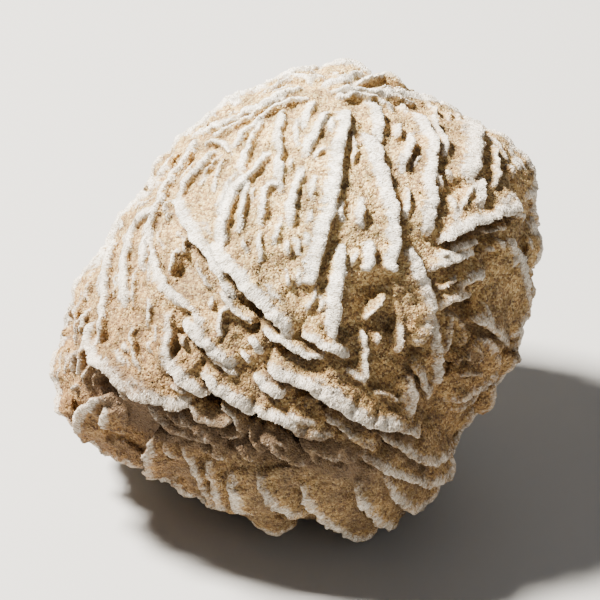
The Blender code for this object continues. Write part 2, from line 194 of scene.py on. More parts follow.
def skinNormal(points):
    slope = []
    for axis in range(3):
        side = np.zeros(3)
        side[axis] = 0.5
        slope.append(fullness(points + side) - fullness(points - side))
    return unit(np.stack(slope, axis=-1))


def curveThrough(points, step):
    # evenly spaced points on a smooth curve through the given ones
    ends = [2 * points[0] - points[1], *points, 2 * points[-1] - points[-2]]
    t = np.linspace(0, 1, 12, endpoint=False)[:, None]
    runs = []
    for a, b, c, d in zip(ends, ends[1:], ends[2:], ends[3:]):
        bend = 2 * a - 5 * b + 4 * c - d
        twist = 3 * b - a - 3 * c + d
        runs.append(0.5 * (2 * b + t * (c - a) + t * t * bend + t * t * t * twist))
    fine = np.vstack([*runs, points[-1:]])
    lengths = np.concatenate([[0], np.cumsum(np.linalg.norm(np.diff(fine, axis=0), axis=1))])
    marks = np.linspace(0, lengths[-1], max(6, round(lengths[-1] / step) + 1))
    return np.stack([np.interp(marks, lengths, fine[:, axis]) for axis in range(3)], axis=-1)


def turned(vector, axis, degrees):
    # vector turned about a unit axis
    angle = math.radians(degrees)
    cos, sin = math.cos(angle), math.sin(angle)
    return vector * cos + np.cross(axis, vector) * sin + axis * np.dot(axis, vector) * (1 - cos)


def travel(point, heading, length, bend=0):
    # points of a walk over the skin that turns by the bend, in degrees, over its length
    steps = 4
    points = [point]
    for _ in range(steps):
        point = skinAlong(point + heading * (length / steps))
        heading = turned(heading, skinNormal(point), bend / steps)
        points.append(point)
    return np.array(points)


def flatten(direction, normal):
    return unit(direction - np.dot(direction, normal) * normal)


def faceAxis(vector):
    return toFace(np.array(vector) * mm + np.array(middle))


def headingAt(point, compass):
    # direction in the skin: 0 runs to growing bearing, 90 runs up
    normal = skinNormal(point)
    along = unit(np.cross(faceAxis((0, 0, 1)), normal))
    rise = np.cross(normal, along)
    angle = math.radians(compass)
    return along * math.cos(angle) + rise * math.sin(angle)


def towards(bearing, height):
    way = math.radians(bearing)
    rise = math.radians(height)
    return faceAxis((math.cos(way) * math.cos(rise), math.sin(way) * math.cos(rise), math.sin(rise)))


# ---- the crests of the front: width, drop of the steep side, reach of the slope, then the
# crest's path, right and up. The steep side lies on the path's right, the slope on its left.

topFan = [
    (1.6, 1.4, 3.0, (-6, 40), (-13, 37), (-20, 31.3), (-25, 28.3)),
    (1.5, 1.2, 2.5, (3, 42.8), (-1.8, 42.2), (-6, 40)),
    (1.3, 1.3, 2.0, (-19, 30.6), (-12, 33.2), (-4.5, 37.3), (0.5, 39.6)),
    (1.2, 1.2, 1.8, (-8.2, 37.9), (-1.4, 40.9), (2, 40)),
    (1.2, 1.2, 1.6, (-17, 30), (-9.8, 33.2), (-6.8, 35.5), (-3, 37.8)),
    (1.2, 1.3, 1.8, (-12.5, 27.5), (-9.8, 30.9), (-5.9, 34.5), (-2.7, 35.9), (1.5, 37.8)),
    (1.0, 1.2, 1.6, (-10.6, 22.5), (-10, 26.1), (-8.2, 30.9), (-6.5, 33.5)),
    (1.3, 1.4, 1.8, (-3.3, 19.5), (-3.9, 27.3), (-3.5, 35.3)),
    (1.8, 1.7, 2.2, (-15, 8), (-13.4, 15.2), (-11.6, 20.7), (-8.6, 23.2), (-6, 27.5)),
    (1.6, 1.7, 1.6, (-10.9, 12), (-10.5, 18.2), (-9.3, 22.5)),
    (1.1, 1.3, 1.4, (0.3, 31), (1.5, 34), (2.5, 37)),
    (1.8, 1.7, 2.2, (0.5, 25.8), (1.8, 28.5), (3.6, 32.4), (4.9, 35.2)),
    (1.4, 1.5, 1.8, (-1.9, 12.5), (-1, 19.5), (0.7, 24.5)),
    (1.0, 1.2, 1.2, (-7, 13), (-6.6, 17.5), (-6, 20.6), (-3, 20.5)),
    (1.7, 1.6, 1.6, (14.4, 28.5), (14.5, 33), (13.2, 36.8)),
    (1.5, 1.4, 2.0, (6.1, 37.6), (9.7, 37.7), (12.7, 37.2), (15.8, 36.1), (17.6, 34.8)),
    (1.2, 1.2, 1.8, (4.5, 38.5), (11.4, 38.4), (16, 37.6), (22, 36)),
    (1.3, 1.2, 1.8, (12.5, 42), (8.9, 40.9), (3, 39.5)),
    (1.4, 1.3, 2.0, (10, 39.5), (13, 40.9), (17, 41.2), (20.5, 39.4)),
    (1.6, 1.2, 2.5, (14, 42.3), (8.9, 44), (3.2, 43.4)),
    (1.6, 1.2, 3.0, (30.5, 34.8), (26, 36.3), (20, 37.8), (13, 38)),
    (1.1, 1.3, 1.2, (11.2, 12.6), (11, 19)),
    (1.1, 1.4, 1.2, (17.4, 29.4), (18, 31.5), (17.7, 32.7)),
    (1.1, 1.5, 1.2, (18.5, 23), (19.2, 25.2), (20, 28.2), (20.1, 31.2)),
    (1.7, 1.8, 2.4, (23, 11.2), (23.8, 15.5), (23.9, 19.4), (23.6, 22.4), (24.1, 25.5), (24.1, 29.1),
     (22.7, 32.1), (21.5, 34.8)),
    (3.4, 1.7, 3.5, (30.9, 21.4), (31.5, 26.1), (32.1, 30.6), (31.5, 34.9)),
    (1.6, 1.7, 1.6, (33, 15.8), (33, 20), (33.3, 23)),
    (1.4, 1.6, 5.0, (42.6, 18), (43.1, 22), (41.2, 26), (37.5, 29.7), (33.5, 32.4)),
    (1.0, 1.2, 1.8, (-14.5, 36.1), (-8.5, 38.9), (-1.2, 41.5)),
]

# blades of the fan whose lower ends are broken off square
bluntFan = [
    (2.4, 1.9, 2.2, (1.4, 2.4), (2.4, 5.8), (3.5, 10), (4.9, 15.1), (6.1, 19.7), (6.7, 24.2),
     (7.1, 27.3), (8, 31.8), (8.8, 35.5)),
    (2.4, 1.9, 1.6, (5.1, -6.7), (6.3, -4.2), (6.4, 0), (7.1, 5.1), (7.4, 10.5)),
    (2.4, 1.9, 2.4, (16.1, 4.5), (16.4, 6.7), (17, 10.6), (16.8, 15.1), (15.8, 19.7), (14.5, 24.2),
     (13.3, 28.2), (11.2, 30.9)),
    (1.6, 1.6, 1.4, (12.1, 4.8), (12.7, 8.2), (12.6, 11)),
]

leftFlank = [
    (1.7, 1.4, 2.4, (-29.2, 6), (-27.5, 13.6), (-25.9, 18.2), (-23.6, 22.7), (-20.5, 26.5), (-19.4, 30)),
    (1.3, 1.4, 2.0, (-22.9, 18.4), (-19.5, 23.2), (-15.6, 28)),
    (1.4, 1.2, 2.5, (-25, 28.3), (-27.3, 23.5), (-28.3, 20.7)),
    (1.6, 1.2, 2.5, (-28, 20.5), (-32, 16.8), (-34.8, 12), (-35, 10)),
    (2.3, 1.4, 2.2, (-32.2, -1.2), (-32.2, 4.5), (-32, 9), (-30.4, 14), (-26.5, 17.5)),
    (1.8, 1.6, 2.2, (-37.7, -8.5), (-36.7, -6.1), (-35.9, -1.2), (-35.7, 2), (-35.2, 7.7), (-33.6, 11.6)),
    (1.4, 1.2, 2.5, (-35, 10), (-38.6, 6.4), (-41.6, 2.8), (-42.6, 0.2)),
    (1.5, 1.8, 1.8, (-19.5, -1.5), (-22.3, 0.9), (-25.2, 4.5), (-26.5, 8), (-27.5, 12.5)),
    (2.1, 2.6, 2.4, (-23, 19.2), (-20, 13), (-16, 7.7), (-11.8, 0.3)),
    (2.2, 3.0, 2.4, (-16.5, 10.5), (-13, 6), (-8.2, 0.7), (-4.5, -3.2), (-1.2, -7)),
    (1.6, 2.2, 2.0, (-21.5, -3), (-16.8, -8.4), (-11.5, -12.4)),
    (1.1, 1.3, 1.4, (-22.5, -13), (-23.5, -10), (-23.7, -1.5)),
    (2.6, 3.0, 2.5, (-24, -10.5), (-21.5, -14), (-15.5, -17.3)),
    (2.2, 3.5, 3.0, (-38.5, -3.2), (-37.6, -9.4), (-34.3, -12.7), (-30, -16.6), (-25, -18.2),
     (-19.5, -19.4)),
    (1.8, 3.2, 2.4, (-7, -5.4), (-2, -7.8), (0.6, -9.3), (4.4, -10.8)),
    (1.5, 2.6, 2.0, (-0.2, -6.2), (5, -8.5), (9.4, -10.4)),
    (1.2, 1.8, 1.4, (-9.5, -6.6), (-6.2, -9.8)),
]

rightFlank = [
    (1.7, 1.8, 1.5, (20.6, -8.8), (21.8, -7.6), (23.2, -5.5), (23.9, -3), (23.6, -0.9), (22.9, 2.4),
     (21.5, 5.5), (19.8, 10)),
    (1.9, 1.9, 1.5, (25.3, -16.4), (25.2, -13.6), (24.7, -9.7), (24.4, -5.5), (24.4, -2.1)),
    (2.1, 2.4, 1.5, (20.2, -10.3), (22.1, -14.2), (23.2, -16.7), (24, -18.5)),
    (1.5, 1.8, 1.3, (20.2, -21.8), (20.8, -19.1), (20.5, -16.4), (20.3, -13.3)),
    (1.9, 4.0, 3.5, (24.6, 10.2), (29.4, 12.7), (33.9, 14.8), (37.6, 15.9), (40.6, 17.6)),
    (1.1, 2.2, 1.8, (23.2, 4.9), (28, 7.2), (32.4, 8.5)),
    (1.2, 2.0, 1.8, (28.5, 2.2), (31, 3.5), (34.3, 4.6)),
    (1.4, 2.4, 2.0, (24.6, -1.9), (28, 0), (31.9, 1.5)),
    (1.4, 1.6, 4.0, (39.7, -7.6), (40.9, -4.8), (41.7, -1.8), (41.8, 1.2), (41.2, 4.9), (39.7, 8.8),
     (38.5, 11.5)),
    (1.3, 2.6, 2.2, (31.4, -3.5), (35, -5.5), (38.3, -8.8)),
    (1.0, 2.6, 2.2, (26.6, -19), (31, -17.3), (34.5, -14.7), (35.8, -12), (35.3, -9), (32.8, -6.4)),
    (1.4, 1.2, 2.5, (43.4, 5), (44.4, 9.5), (42.9, 14.4)),
    (1.2, 1.2, 2.0, (42.2, -3), (43, 1), (43.2, 4.6)),
    (1.3, 1.4, 2.0, (37.5, -14.6), (40, -11), (39.9, -8)),
    (1.2, 1.6, 1.8, (28.2, -20.9), (33.3, -17.2)),
    (1.3, 1.4, 2.0, (33.4, -22), (35.3, -19.5), (36, -16)),
    (1.3, 1.6, 2.0, (29.8, -24.8), (32.4, -20.2)),
]

# stacked blades that overhang the recess
shelves = [
    (2.6, 4.2, 3.6, (-6.5, -11.7), (1, -15), (5.5, -17.4), (10, -20.6), (15.5, -22.2), (22.8, -23.6)),
    (2.6, 2.6, 2.0, (-8.3, -13.2), (-2.7, -17.8)),
    (2.1, 3.6, 2.6, (-17.8, -13.2), (-13, -17.2), (-7.5, -20.4)),
    (1.5, 3.2, 2.6, (-9.4, -19.3), (-3, -21.8), (1, -24), (6.5, -24.8)),
    (0.9, 2.2, 2.0, (4, -21), (10, -24.5), (14.5, -26.4)),
    (1.3, 2.8, 2.6, (0.5, -24.6), (5.5, -28.3), (11, -29)),
    (1.5, 3.0, 3.6, (13.2, -23.8), (18, -26), (20.5, -28), (23.5, -29.2), (26.5, -28.3), (28.3, -25.4)),
    (1.8, 3.2, 3.6, (10.8, -27.6), (15, -30), (20, -32), (24.5, -33), (27.5, -31)),
]

# petals below the recess
underside = [
    (2.6, 1.6, 3.0, (-45.5, -8), (-45.3, -12.5), (-44.3, -17), (-44.8, -19.5), (-43, -22.5)),
    (1.3, 2.0, 1.5, (-33.7, -14.2), (-30.8, -18.8)),
    (1.4, 2.4, 2.8, (-34.8, -17.4), (-38.8, -19.3), (-40.6, -22.5), (-39.6, -27.6)),
    (0.9, 1.8, 1.5, (-35.3, -19), (-36.3, -24.2)),
    (1.4, 2.6, 3.8, (-26.3, -24.5), (-27.5, -28.5), (-27.5, -31.8), (-26, -34.2)),
    (0.9, 2.0, 1.8, (-23.9, -24.4), (-23.9, -27.1), (-22.4, -30)),
    (1.3, 2.6, 2.8, (-21.8, -26), (-18.6, -31.4), (-17.2, -35), (-14.8, -39.6)),
    (1.4, 1.2, 2.0, (-38, -28), (-33, -29.2), (-28.2, -32)),
    (1.4, 1.2, 2.0, (-23.9, -33.2), (-20.7, -35.9), (-17.7, -36.7)),
    (1.2, 2.0, 2.6, (-17.2, -28.8), (-15.7, -34), (-14.7, -38.8)),
    (1.9, 2.2, 3.6, (-12.9, -31), (-12, -36.4), (-10.2, -40)),
    (1.5, 2.2, 4.0, (-7.7, -31.6), (-5.8, -36.2), (-2.2, -38.8), (2, -39.9)),
    (1.7, 2.6, 5.0, (0.1, -33.6), (2.2, -38), (6.5, -41.5), (10.5, -43.4), (15, -42.8)),
    (1.8, 2.6, 3.4, (9.6, -33), (12, -37.8), (15.5, -41), (19, -41.9)),
    (2.0, 2.8, 3.0, (15.3, -31.6), (17.5, -35.5), (20.6, -37.8), (24.5, -37.8)),
    (1.4, 1.4, 2.2, (21.5, -38), (25.3, -35.3), (27, -33.5)),
    (1.6, 1.2, 2.5, (-9.8, -41.3), (-3.6, -42.8), (-0.3, -41.7)),
    (1.3, 1.4, 2.0, (27.5, -34), (28.4, -30.7), (29, -27.8)),
]

# thin rims between the larger blades
fineRims = [
    (0.7, 1.4, 1.6, (-0.8, 27.5), (-0.9, 33.5)),
    (0.7, 1.4, 1.2, (2.5, 25.7), (4.7, 28)),
    (0.8, 1.4, 1.6, (26.8, 26.5), (26.4, 29.1), (24, 34.5)),
    (0.7, 1.4, 1.2, (19.2, 14.5), (19.5, 21)),
    (0.8, 1.4, 1.2, (26.5, 20.8), (24.3, 23.3)),
    (0.7, 1.4, 1.2, (27.5, 14.3), (28, 17), (27.3, 19.6)),
    (0.7, 1.4, 1.2, (27.8, 14.2), (32, 21.5)),
    (0.7, 1.4, 1.6, (35.5, 20), (36.3, 25), (35.6, 29)),
    (0.8, 1.4, 1.6, (-18.2, 29), (-15, 28.8), (-12.7, 26.8)),
    (0.8, 1.4, 1.6, (-16.4, 20), (-13.7, 26.5)),
    (0.8, 1.4, 1.2, (-24, 5), (-22.5, 10)),
    (0.8, 1.4, 1.6, (-28.5, -13.6), (-30.2, -8.9), (-30.6, -4)),
    (0.7, 1.4, 1.2, (-25.9, -8), (-26, -3.5)),
    (0.8, 1.6, 1.2, (-14.2, -7), (-14.2, -3), (-12.8, -0.5)),
    (0.7, 1.4, 1.2, (-9.3, 8.4), (-11, 11.3)),
    (0.7, 1.4, 1.6, (-6.6, 6.8), (-7.3, 10), (-7, 13)),
    (0.7, 1.4, 1.6, (-4.5, 9.8), (-3.2, 15.5)),
    (0.8, 1.4, 1.2, (-0.5, 7.7), (-0.5, 11.5)),
    (0.7, 1.4, 1.2, (-1.8, 7.5), (-2.5, 11.2)),
    (0.9, 1.4, 1.2, (12.2, -15), (12, -10), (11.5, -5)),
    (0.7, 1.2, 0.8, (11.6, -3.9), (13.6, -1.6), (15.9, 0.6)),
    (0.7, 1.4, 1.0, (14.2, -8.6), (13.8, -5.4)),
    (0.6, 1.2, 1.0, (2.5, -13.4), (5.8, -16), (8.8, -18.6)),
    (1.1, 1.5, 1.2, (17.8, -10.2), (18.3, -7), (18.5, -3.9)),
    (1.0, 1.5, 1.2, (26, -10.6), (27.2, -6), (27.3, -1.4)),
    (0.7, 1.4, 1.2, (30.4, -8.8), (29.6, -5.5), (28.2, -2)),
    (0.7, 2.2, 1.4, (13.2, -16.3), (16, -17.2), (19, -18.4)),
    (0.8, 2.2, 1.4, (24.6, 1.1), (29, 4.3)),
    (0.7, 1.4, 1.2, (35.5, -3.6), (33.4, -0.7)),
    (0.7, 1.4, 1.2, (-38, -16), (-37.2, -13.5), (-36, -11.7)),
    (0.9, 2.2, 1.4, (-3.5, -39.5), (1.5, -39.8)),
    (1.0, 1.4, 1.6, (-41.1, -14), (-40.3, -10.5), (-39.9, -6.5)),
    (0.7, 1.8, 1.2, (-23.5, -15.5), (-20, -17)),
    (0.9, 1.8, 1.4, (8.2, -12.6), (12.5, -15)),
    (0.9, 1.8, 1.4, (24.3, 7.3), (29.5, 9.6), (33, 10.4)),
    (0.8, 1.6, 1.2, (26.5, 0.2), (30.5, 2.4)),
    (0.7, 1.5, 1.4, (-31, -13.5), (-28.5, -15.7), (-25.5, -16.6)),
    (0.7, 1.5, 1.4, (-17.5, -8.5), (-14, -11.8), (-11, -13.9)),
    (0.8, 1.5, 1.4, (-24.5, 2.6), (-20.6, -0.9), (-17.3, -4.4)),
    (0.7, 1.4, 1.4, (-14.8, 2), (-11.4, -2.2), (-8.6, -4.6)),
]

# thin plates standing in the deep recess under the shelves, and three in the right flank's hollow
recessRims = [
    (0.9, 3.0, 2.2, (-27.7, -18.6), (-26.3, -20.5), (-23.8, -22.8), (-20.5, -24.3), (-15, -26)),
    (0.7, 3.0, 1.6, (-24.2, -19.5), (-22.4, -21.8), (-19.8, -23.2)),
    (0.7, 3.0, 1.4, (-21.8, -20.2), (-20.8, -22), (-18.8, -23.3), (-17, -25)),
    (1.1, 3.0, 2.0, (-19.8, -19), (-18.8, -20.5), (-16.5, -21.8), (-14.5, -22.4), (-11.8, -22.3)),
    (0.7, 2.8, 1.4, (-14.6, -19.4), (-11.8, -21), (-10.8, -24.5)),
    (0.7, 2.6, 1.4, (-15, -24.1), (-10.2, -25)),
    (0.6, 2.6, 1.2, (-9.3, -22), (-8.6, -25), (-6.8, -28.2)),
    (1.0, 3.0, 2.0, (-7.6, -24.2), (-4.5, -27), (-2, -28.6), (1.8, -30.1)),
    (0.7, 2.6, 1.4, (-12.2, -25.4), (-8.5, -29.7)),
    (0.6, 2.6, 1.2, (-5.4, -24.6), (-1.6, -27.3)),
    (0.7, 2.8, 1.4, (-0.4, -25.4), (4.2, -30)),
    (0.8, 2.6, 1.4, (5.5, -29.2), (9, -31.4)),
    (0.7, 2.6, 1.4, (-15.4, -25), (-15.2, -27), (-16, -28.8)),
    (0.8, 2.6, 1.6, (-2.6, -20.4), (3.5, -22.8)),
    (0.8, 2.6, 1.6, (8, -24.3), (14, -27.4)),
    (0.8, 2.4, 1.6, (-18.6, -26.6), (-13.5, -29.4)),
    (0.7, 2.4, 1.4, (28.2, -12.2), (30, -10.4), (31.6, -11.2)),
    (0.7, 2.4, 1.4, (28.4, -14.6), (31.5, -13.2), (33.2, -14)),
    (0.6, 2.4, 1.2, (31.4, -8.2), (33, -9.8), (33.2, -12)),
]


# ---- the crests of the sides and the back, which run on from the front

backCrests = {
    "seed": 7,
    "crown": (4, 37),
    "span": (-28, 208),         # degrees round the outline
    "streaks": [(2, 30, 12), (21, 30, 11), (41, 24, 9)],    # distance past the outline, length, count
    # bearing, height, heading in degrees, length
    "crossings": [(58, 30, 215, 34), (128, 26, -28, 36), (92, -4, 200, 34), (20, -6, 40, 30),
                  (158, -10, 150, 28)],
    # first and last bearing, height, count, length, tilt
    "tiers": [(12, 95, -10, 4, 22, 12), (95, 172, -14, 4, 22, -10), (5, 178, -30, 7, 22, 8),
              (10, 175, -46, 4, 22, -8)],
    "rosettes": [(112, 44, 9.0, 5), (44, 8, 8.0, 5)],       # bearing, height, radius, petals
}


def streakPaths(chance):
    crown = skinOver(np.array([backCrests["crown"]], float))[0]
    first, final = backCrests["span"]
    for advance, length, count in backCrests["streaks"]:
        for index in range(count):
            angle = math.radians(first + (final - first) * (index + chance.uniform(0.2, 0.8)) / count)
            edge = skinAlong(np.array([math.cos(angle), math.sin(angle), 0]))
            way = travel(edge, flatten(edge - crown, skinNormal(edge)), advance)
            normal = skinNormal(way[-1])
            heading = turned(flatten(way[-1] - way[-2], normal), normal, chance.uniform(-16, 16))
            reach = length * chance.uniform(0.8, 1.15)
            path = travel(way[-1], heading, reach, chance.uniform(-25, 25))
            if chance.random() < 0.5:
                path = path[::-1]
            yield chance.uniform(1.2, 2.3), chance.uniform(1.3, 2.3), chance.uniform(1.5, 3), path


def tierPaths(chance):
    for first, final, height, count, length, tilt in backCrests["tiers"]:
        for index in range(count):
            bearing = first + (final - first) * (index + chance.uniform(-0.2, 0.2)) / count
            start = skinAlong(towards(bearing, height + chance.uniform(-4, 4)))
            heading = headingAt(start, tilt + chance.uniform(-10, 10))
            path = travel(start, heading, length * chance.uniform(0.8, 1.2), chance.uniform(-10, 30))
            yield chance.uniform(1.3, 2.3), chance.uniform(2.4, 3.6), chance.uniform(2.5, 4), path


def rosettePaths(chance):
    for bearing, height, radius, petals in backCrests["rosettes"]:
        centre = skinAlong(towards(bearing, height))
        for index in range(petals):
            compass = 360 * index / petals + chance.uniform(-12, 12)
            start = centre + headingAt(centre, compass) * radius * chance.uniform(0.6, 1.1)
            start = skinAlong(start)
            path = travel(start, headingAt(start, compass + 60), radius * chance.uniform(1.4, 1.9), 60)
            yield chance.uniform(1.1, 1.7), chance.uniform(1.6, 2.4), chance.uniform(1.5, 3), path


def backPaths():
    chance = random.Random(backCrests["seed"])
    yield from streakPaths(chance)
    for bearing, height, compass, length in backCrests["crossings"]:
        start = skinAlong(towards(bearing, height))
        yield 2.2, 2.8, 2.6, travel(start, headingAt(start, compass), length, 20)
    yield from tierPaths(chance)
    yield from rosettePaths(chance)


# ---- one blade: a crest with a steep side and a slope

blade = {
    "seed": 5,
    "pathStep": 1.5,            # mm between the points of a path
    "step": 0.7,                # and between sections
    "endRamp": 5.0,             # mm over which a crest sinks into the sand
    "bluntRamp": 1.0,
    "fineRamp": 2.5,
    "thinning": 0.75,           # share of its width that it loses there
    "endDepth": 2.5,
    "half": 0.42,               # half thickness, as a share of the width
    "uneven": 0.26,             # how much that varies
    "proud": 0.35,              # stand-out for each mm of drop past the level
    "level": 1.9,
    "fineSink": 0.25,           # mm that the fine rims lie lower
    "recessSink": 0.1,
    "foot": 0.4,                # mm that the foot of the slope is buried
    "root": 4.5,                # mm from the crest down to the blade's hidden edge
    # how far down the slope is at each share of its run
    "profile": ((0, 0), (0.1, 0.02), (0.24, 0.14), (0.45, 0.36), (0.7, 0.66), (1, 1)),
    "undercut": 0.3,            # lean of the steep side, for each mm of a deep drop
    "deepDrop": 1.8,
    "innerBend": 0.7,           # share of a bend's radius that a slope may fill
    "wander": 0.28,             # mm that a crest strays sideways
    "rough": 0.3,               # mm that its height varies
    "wavelengths": (2.3, 3.7, 6.1, 10.0),
}


def wobble(along, chance):
    # wandering line between about -1 and 1
    total = np.zeros_like(along)
    for length in blade["wavelengths"]:
        total += np.sin(along * 2 * math.pi / length + chance.uniform(0, 2 * math.pi))
    return total / 2.6


def makeCrest(width, drop, slope, path, chance, ramps=None, sink=0.0):
    # everything that a blade's sections need, station by station
    points = curveThrough(np.asarray(path, float), blade["step"])
    gaps = np.linalg.norm(np.diff(points, axis=0), axis=1)
    along = np.concatenate([[0], np.cumsum(gaps)])
    normals = skinNormal(points)
    aside = unit(np.cross(normals, np.gradient(points, axis=0)))
    points = points + aside * (blade["wander"] * wobble(along, chance))[:, None]
    forward = unit(np.gradient(points, axis=0))
    aside = unit(np.cross(normals, forward))
    first, last = ramps or (blade["endRamp"], blade["endRamp"])
    first, last = min(first, along[-1] / 2), min(last, along[-1] / 2)
    near = np.maximum(1 - along / first, 1 - (along[-1] - along) / last)
    fade = 1 - np.sqrt(1 - np.clip(near, 0, 1) ** 2)
    crest = blade["proud"] * (drop - blade["level"]) - sink + blade["rough"] * wobble(along, chance)
    crest = crest * (1 - fade) - blade["endDepth"] * fade
    half = blade["half"] * width * (1 - blade["thinning"] * fade)
    half = half * (1 + blade["uneven"] * wobble(along, chance))
    bend = np.einsum("ij,ij->i", np.gradient(forward, axis=0), aside) / np.gradient(along)
    limit = blade["innerBend"] / np.maximum(bend, 0.01)
    return {
        "points": points, "normals": normals, "aside": aside, "forward": forward,
        "along": along, "fade": fade, "crest": crest, "half": half, "drop": drop,
        "reach": np.minimum(slope, limit), "limit": limit,
        "white": min(1.0, 0.5 + 0.3 * width) * chance.uniform(0.82, 1.0),
    }


def treeOf(points):
    tree = KDTree(len(points))
    for index, point in enumerate(points.tolist()):
        tree.insert(point, index)
    tree.balance()
    return tree


fit = {
    "farthest": 7.0,            # mm, the longest slope
    "nearest": 0.9,             # mm from a crest at which another one counts as beside it
    "abreast": 0.8,             # mm that it may lie ahead or behind
    "share": 0.92,              # of the gap that the slope fills
    "clear": 0.5,               # less these mm
    "least": 0.9,
    "ofLength": 0.45,           # the longest slope, as a share of its crest
    "evened": 3,                # stations to each side that the gap is averaged over
}


def fitSlopes(crests):
    # let each slope run down to the foot of the next crest on that side
    stations = np.vstack([crest["points"] for crest in crests])
    owner = np.repeat(np.arange(len(crests)), [len(crest["points"]) for crest in crests])
    tree = treeOf(stations)
    for number, crest in enumerate(crests):
        gaps = []
        for index, place in enumerate(crest["points"]):
            picks = np.array([item[1] for item in tree.find_range(place, fit["farthest"])])
            away = stations[picks[owner[picks] != number]] - place
            x = away @ crest["aside"][index]
            beside = (x > fit["nearest"]) & (np.abs(away @ crest["forward"][index]) < fit["abreast"])
            gaps.append(min(x[beside], default=fit["farthest"]))
        span = 2 * fit["evened"] + 1
        gaps = np.convolve(np.pad(gaps, fit["evened"], mode="edge"), np.ones(span) / span, "valid")
        fitted = np.maximum(fit["share"] * gaps - crest["half"] - fit["clear"], fit["least"])
        crest["reach"] = np.minimum(fitted, np.minimum(crest["limit"], fit["ofLength"] * crest["along"][-1]))


def bladeSection(crest):
    # twelve corners of each section, sideways and outward, in mm
    half, top, reach, drop = crest["half"], crest["crest"], crest["reach"], crest["drop"]
    fall = -body["inset"] - blade["foot"] - top
    run = 1.8 * half + reach
    root = top - blade["root"] - 0.5 * drop
    lean = blade["undercut"] * max(0.0, drop - blade["deepDrop"]) * 2 - 0.1
    upper = [(share * run - 0.8 * half, top + down * fall) for share, down in blade["profile"]]
    return [(-half * 0.98, top - 0.3 * half)] + upper + [
        (half + 0.4 * reach, root), (lean - half * 0.2, root - 0.2),
        (lean - half, top - drop * 1.15), (lean * 0.8 - half, top - drop * 0.8),
        (lean * 0.4 - half, top - drop * 0.4),
    ]


rods = {}


def rodOf(rings):
    # closed round rod of unit length, with its ring and its place in the ring for each point
    if rings not in rods:
        shape = bmesh.new()
        bmesh.ops.create_cone(shape, cap_ends=True, segments=12, radius1=1, radius2=1, depth=1)
        sides = [edge for edge in shape.edges if abs(edge.verts[0].co.z - edge.verts[1].co.z) > 0.5]
        bmesh.ops.subdivide_edges(shape, edges=sides, cuts=rings - 2, use_grid_fill=True)
        places = np.array([vert.co for vert in shape.verts])
        ring = np.round((places[:, 2] + 0.5) * (rings - 1)).astype(int)
        corner = np.round(np.arctan2(places[:, 1], places[:, 0]) / (math.pi / 6)).astype(int) % 12
        rods[rings] = shape, ring, corner
    return rods[rings]


def addBlade(shape, crest):
    rings = len(crest["points"])
    rod, ring, corner = rodOf(rings)
    section = np.array([np.broadcast_arrays(x, y) for x, y in bladeSection(crest)])
    x, y = section[corner, 0, ring], section[corner, 1, ring]
    places = crest["points"][ring] + crest["aside"][ring] * x[:, None] + crest["normals"][ring] * y[:, None]
    placeVerts(rod.verts, toWorld(places))
    merge(shape, rod.copy())


# ---- fine ribs between the blades, laid along the way that their neighbours run

ribs = {
    "seed": 23, "tries": 4200, "most": 420,
    "gap": 1.35,                # mm kept from other crests
    "frontGap": 1.7, "front": 8,    # and where the skin is so far outward
    "length": (3.0, 9.5), "width": (0.5, 0.95), "drop": (1.1, 1.6), "slope": (0.8, 1.7),
    "sink": 0.35, "step": 0.8, "swerve": 9,
    "neighbours": 14, "pull": 0.25,     # how many crest points steer a rib, and how much
    "least": 4, "straight": 0.9,        # fewest points, and how straight a rib must be
    "lowest": 3,                # mm above the ground
    # no rib is drawn below the first of these on the front, or right of the next and below the last
    "traced": (-17, 8, 5),
}


def traced(point):
    # parts of the face whose rims are all listed
    u, v, w = point
    low, right, under = ribs["traced"]
    return w > 0 and (v < low or (u > right and v < under))


def addRibs(crests):
    chance = random.Random(ribs["seed"])
    known = np.vstack([crest["points"] for crest in crests])
    ways = np.vstack([crest["forward"] for crest in crests])
    made = []
    for _ in range(ribs["tries"]):
        point = skinAlong(unit(np.array([chance.gauss(0, 1) for _ in range(3)])))
        length = chance.uniform(*ribs["length"])
        swerve = chance.gauss(0, ribs["swerve"])
        if len(made) >= ribs["most"]:
            break
        if toWorld(point)[2] < ribs["lowest"] * mm or traced(point):
            continue
        away = np.linalg.norm(known - point, axis=1)
        gap = ribs["frontGap"] if point[2] > ribs["front"] else ribs["gap"]
        if away.min() < gap:
            continue
        path = [point]
        heading = None
        while len(path) * ribs["step"] < length:
            near = np.argsort(away)[:ribs["neighbours"]]
            if heading is None:
                heading = turned(ways[near[0]], skinNormal(point), swerve)
            sign = np.sign(ways[near] @ heading)[:, None]
            drift = (ways[near] * sign / (away[near, None] + 0.5)).sum(axis=0)
            heading = (1 - ribs["pull"]) * heading + ribs["pull"] * unit(drift)
            heading = flatten(heading, skinNormal(point))
            point = skinAlong(point + heading * ribs["step"])
            away = np.linalg.norm(known - point, axis=1)
            if away.min() < 0.75 * gap:
                break
            path.append(point)
        run = ribs["step"] * (len(path) - 1)
        if len(path) < ribs["least"] or np.linalg.norm(path[-1] - path[0]) < ribs["straight"] * run:
            continue
        width, drop, slope = (chance.uniform(*ribs[key]) for key in ("width", "drop", "slope"))
        half = len(path) * ribs["step"] / 2
        crest = makeCrest(width, drop, slope, path[::2] + path[-1:], chance, (half, half), ribs["sink"])
        made.append(crest)
        known = np.vstack([known, crest["points"]])
        ways = np.vstack([ways, crest["forward"]])
    return made


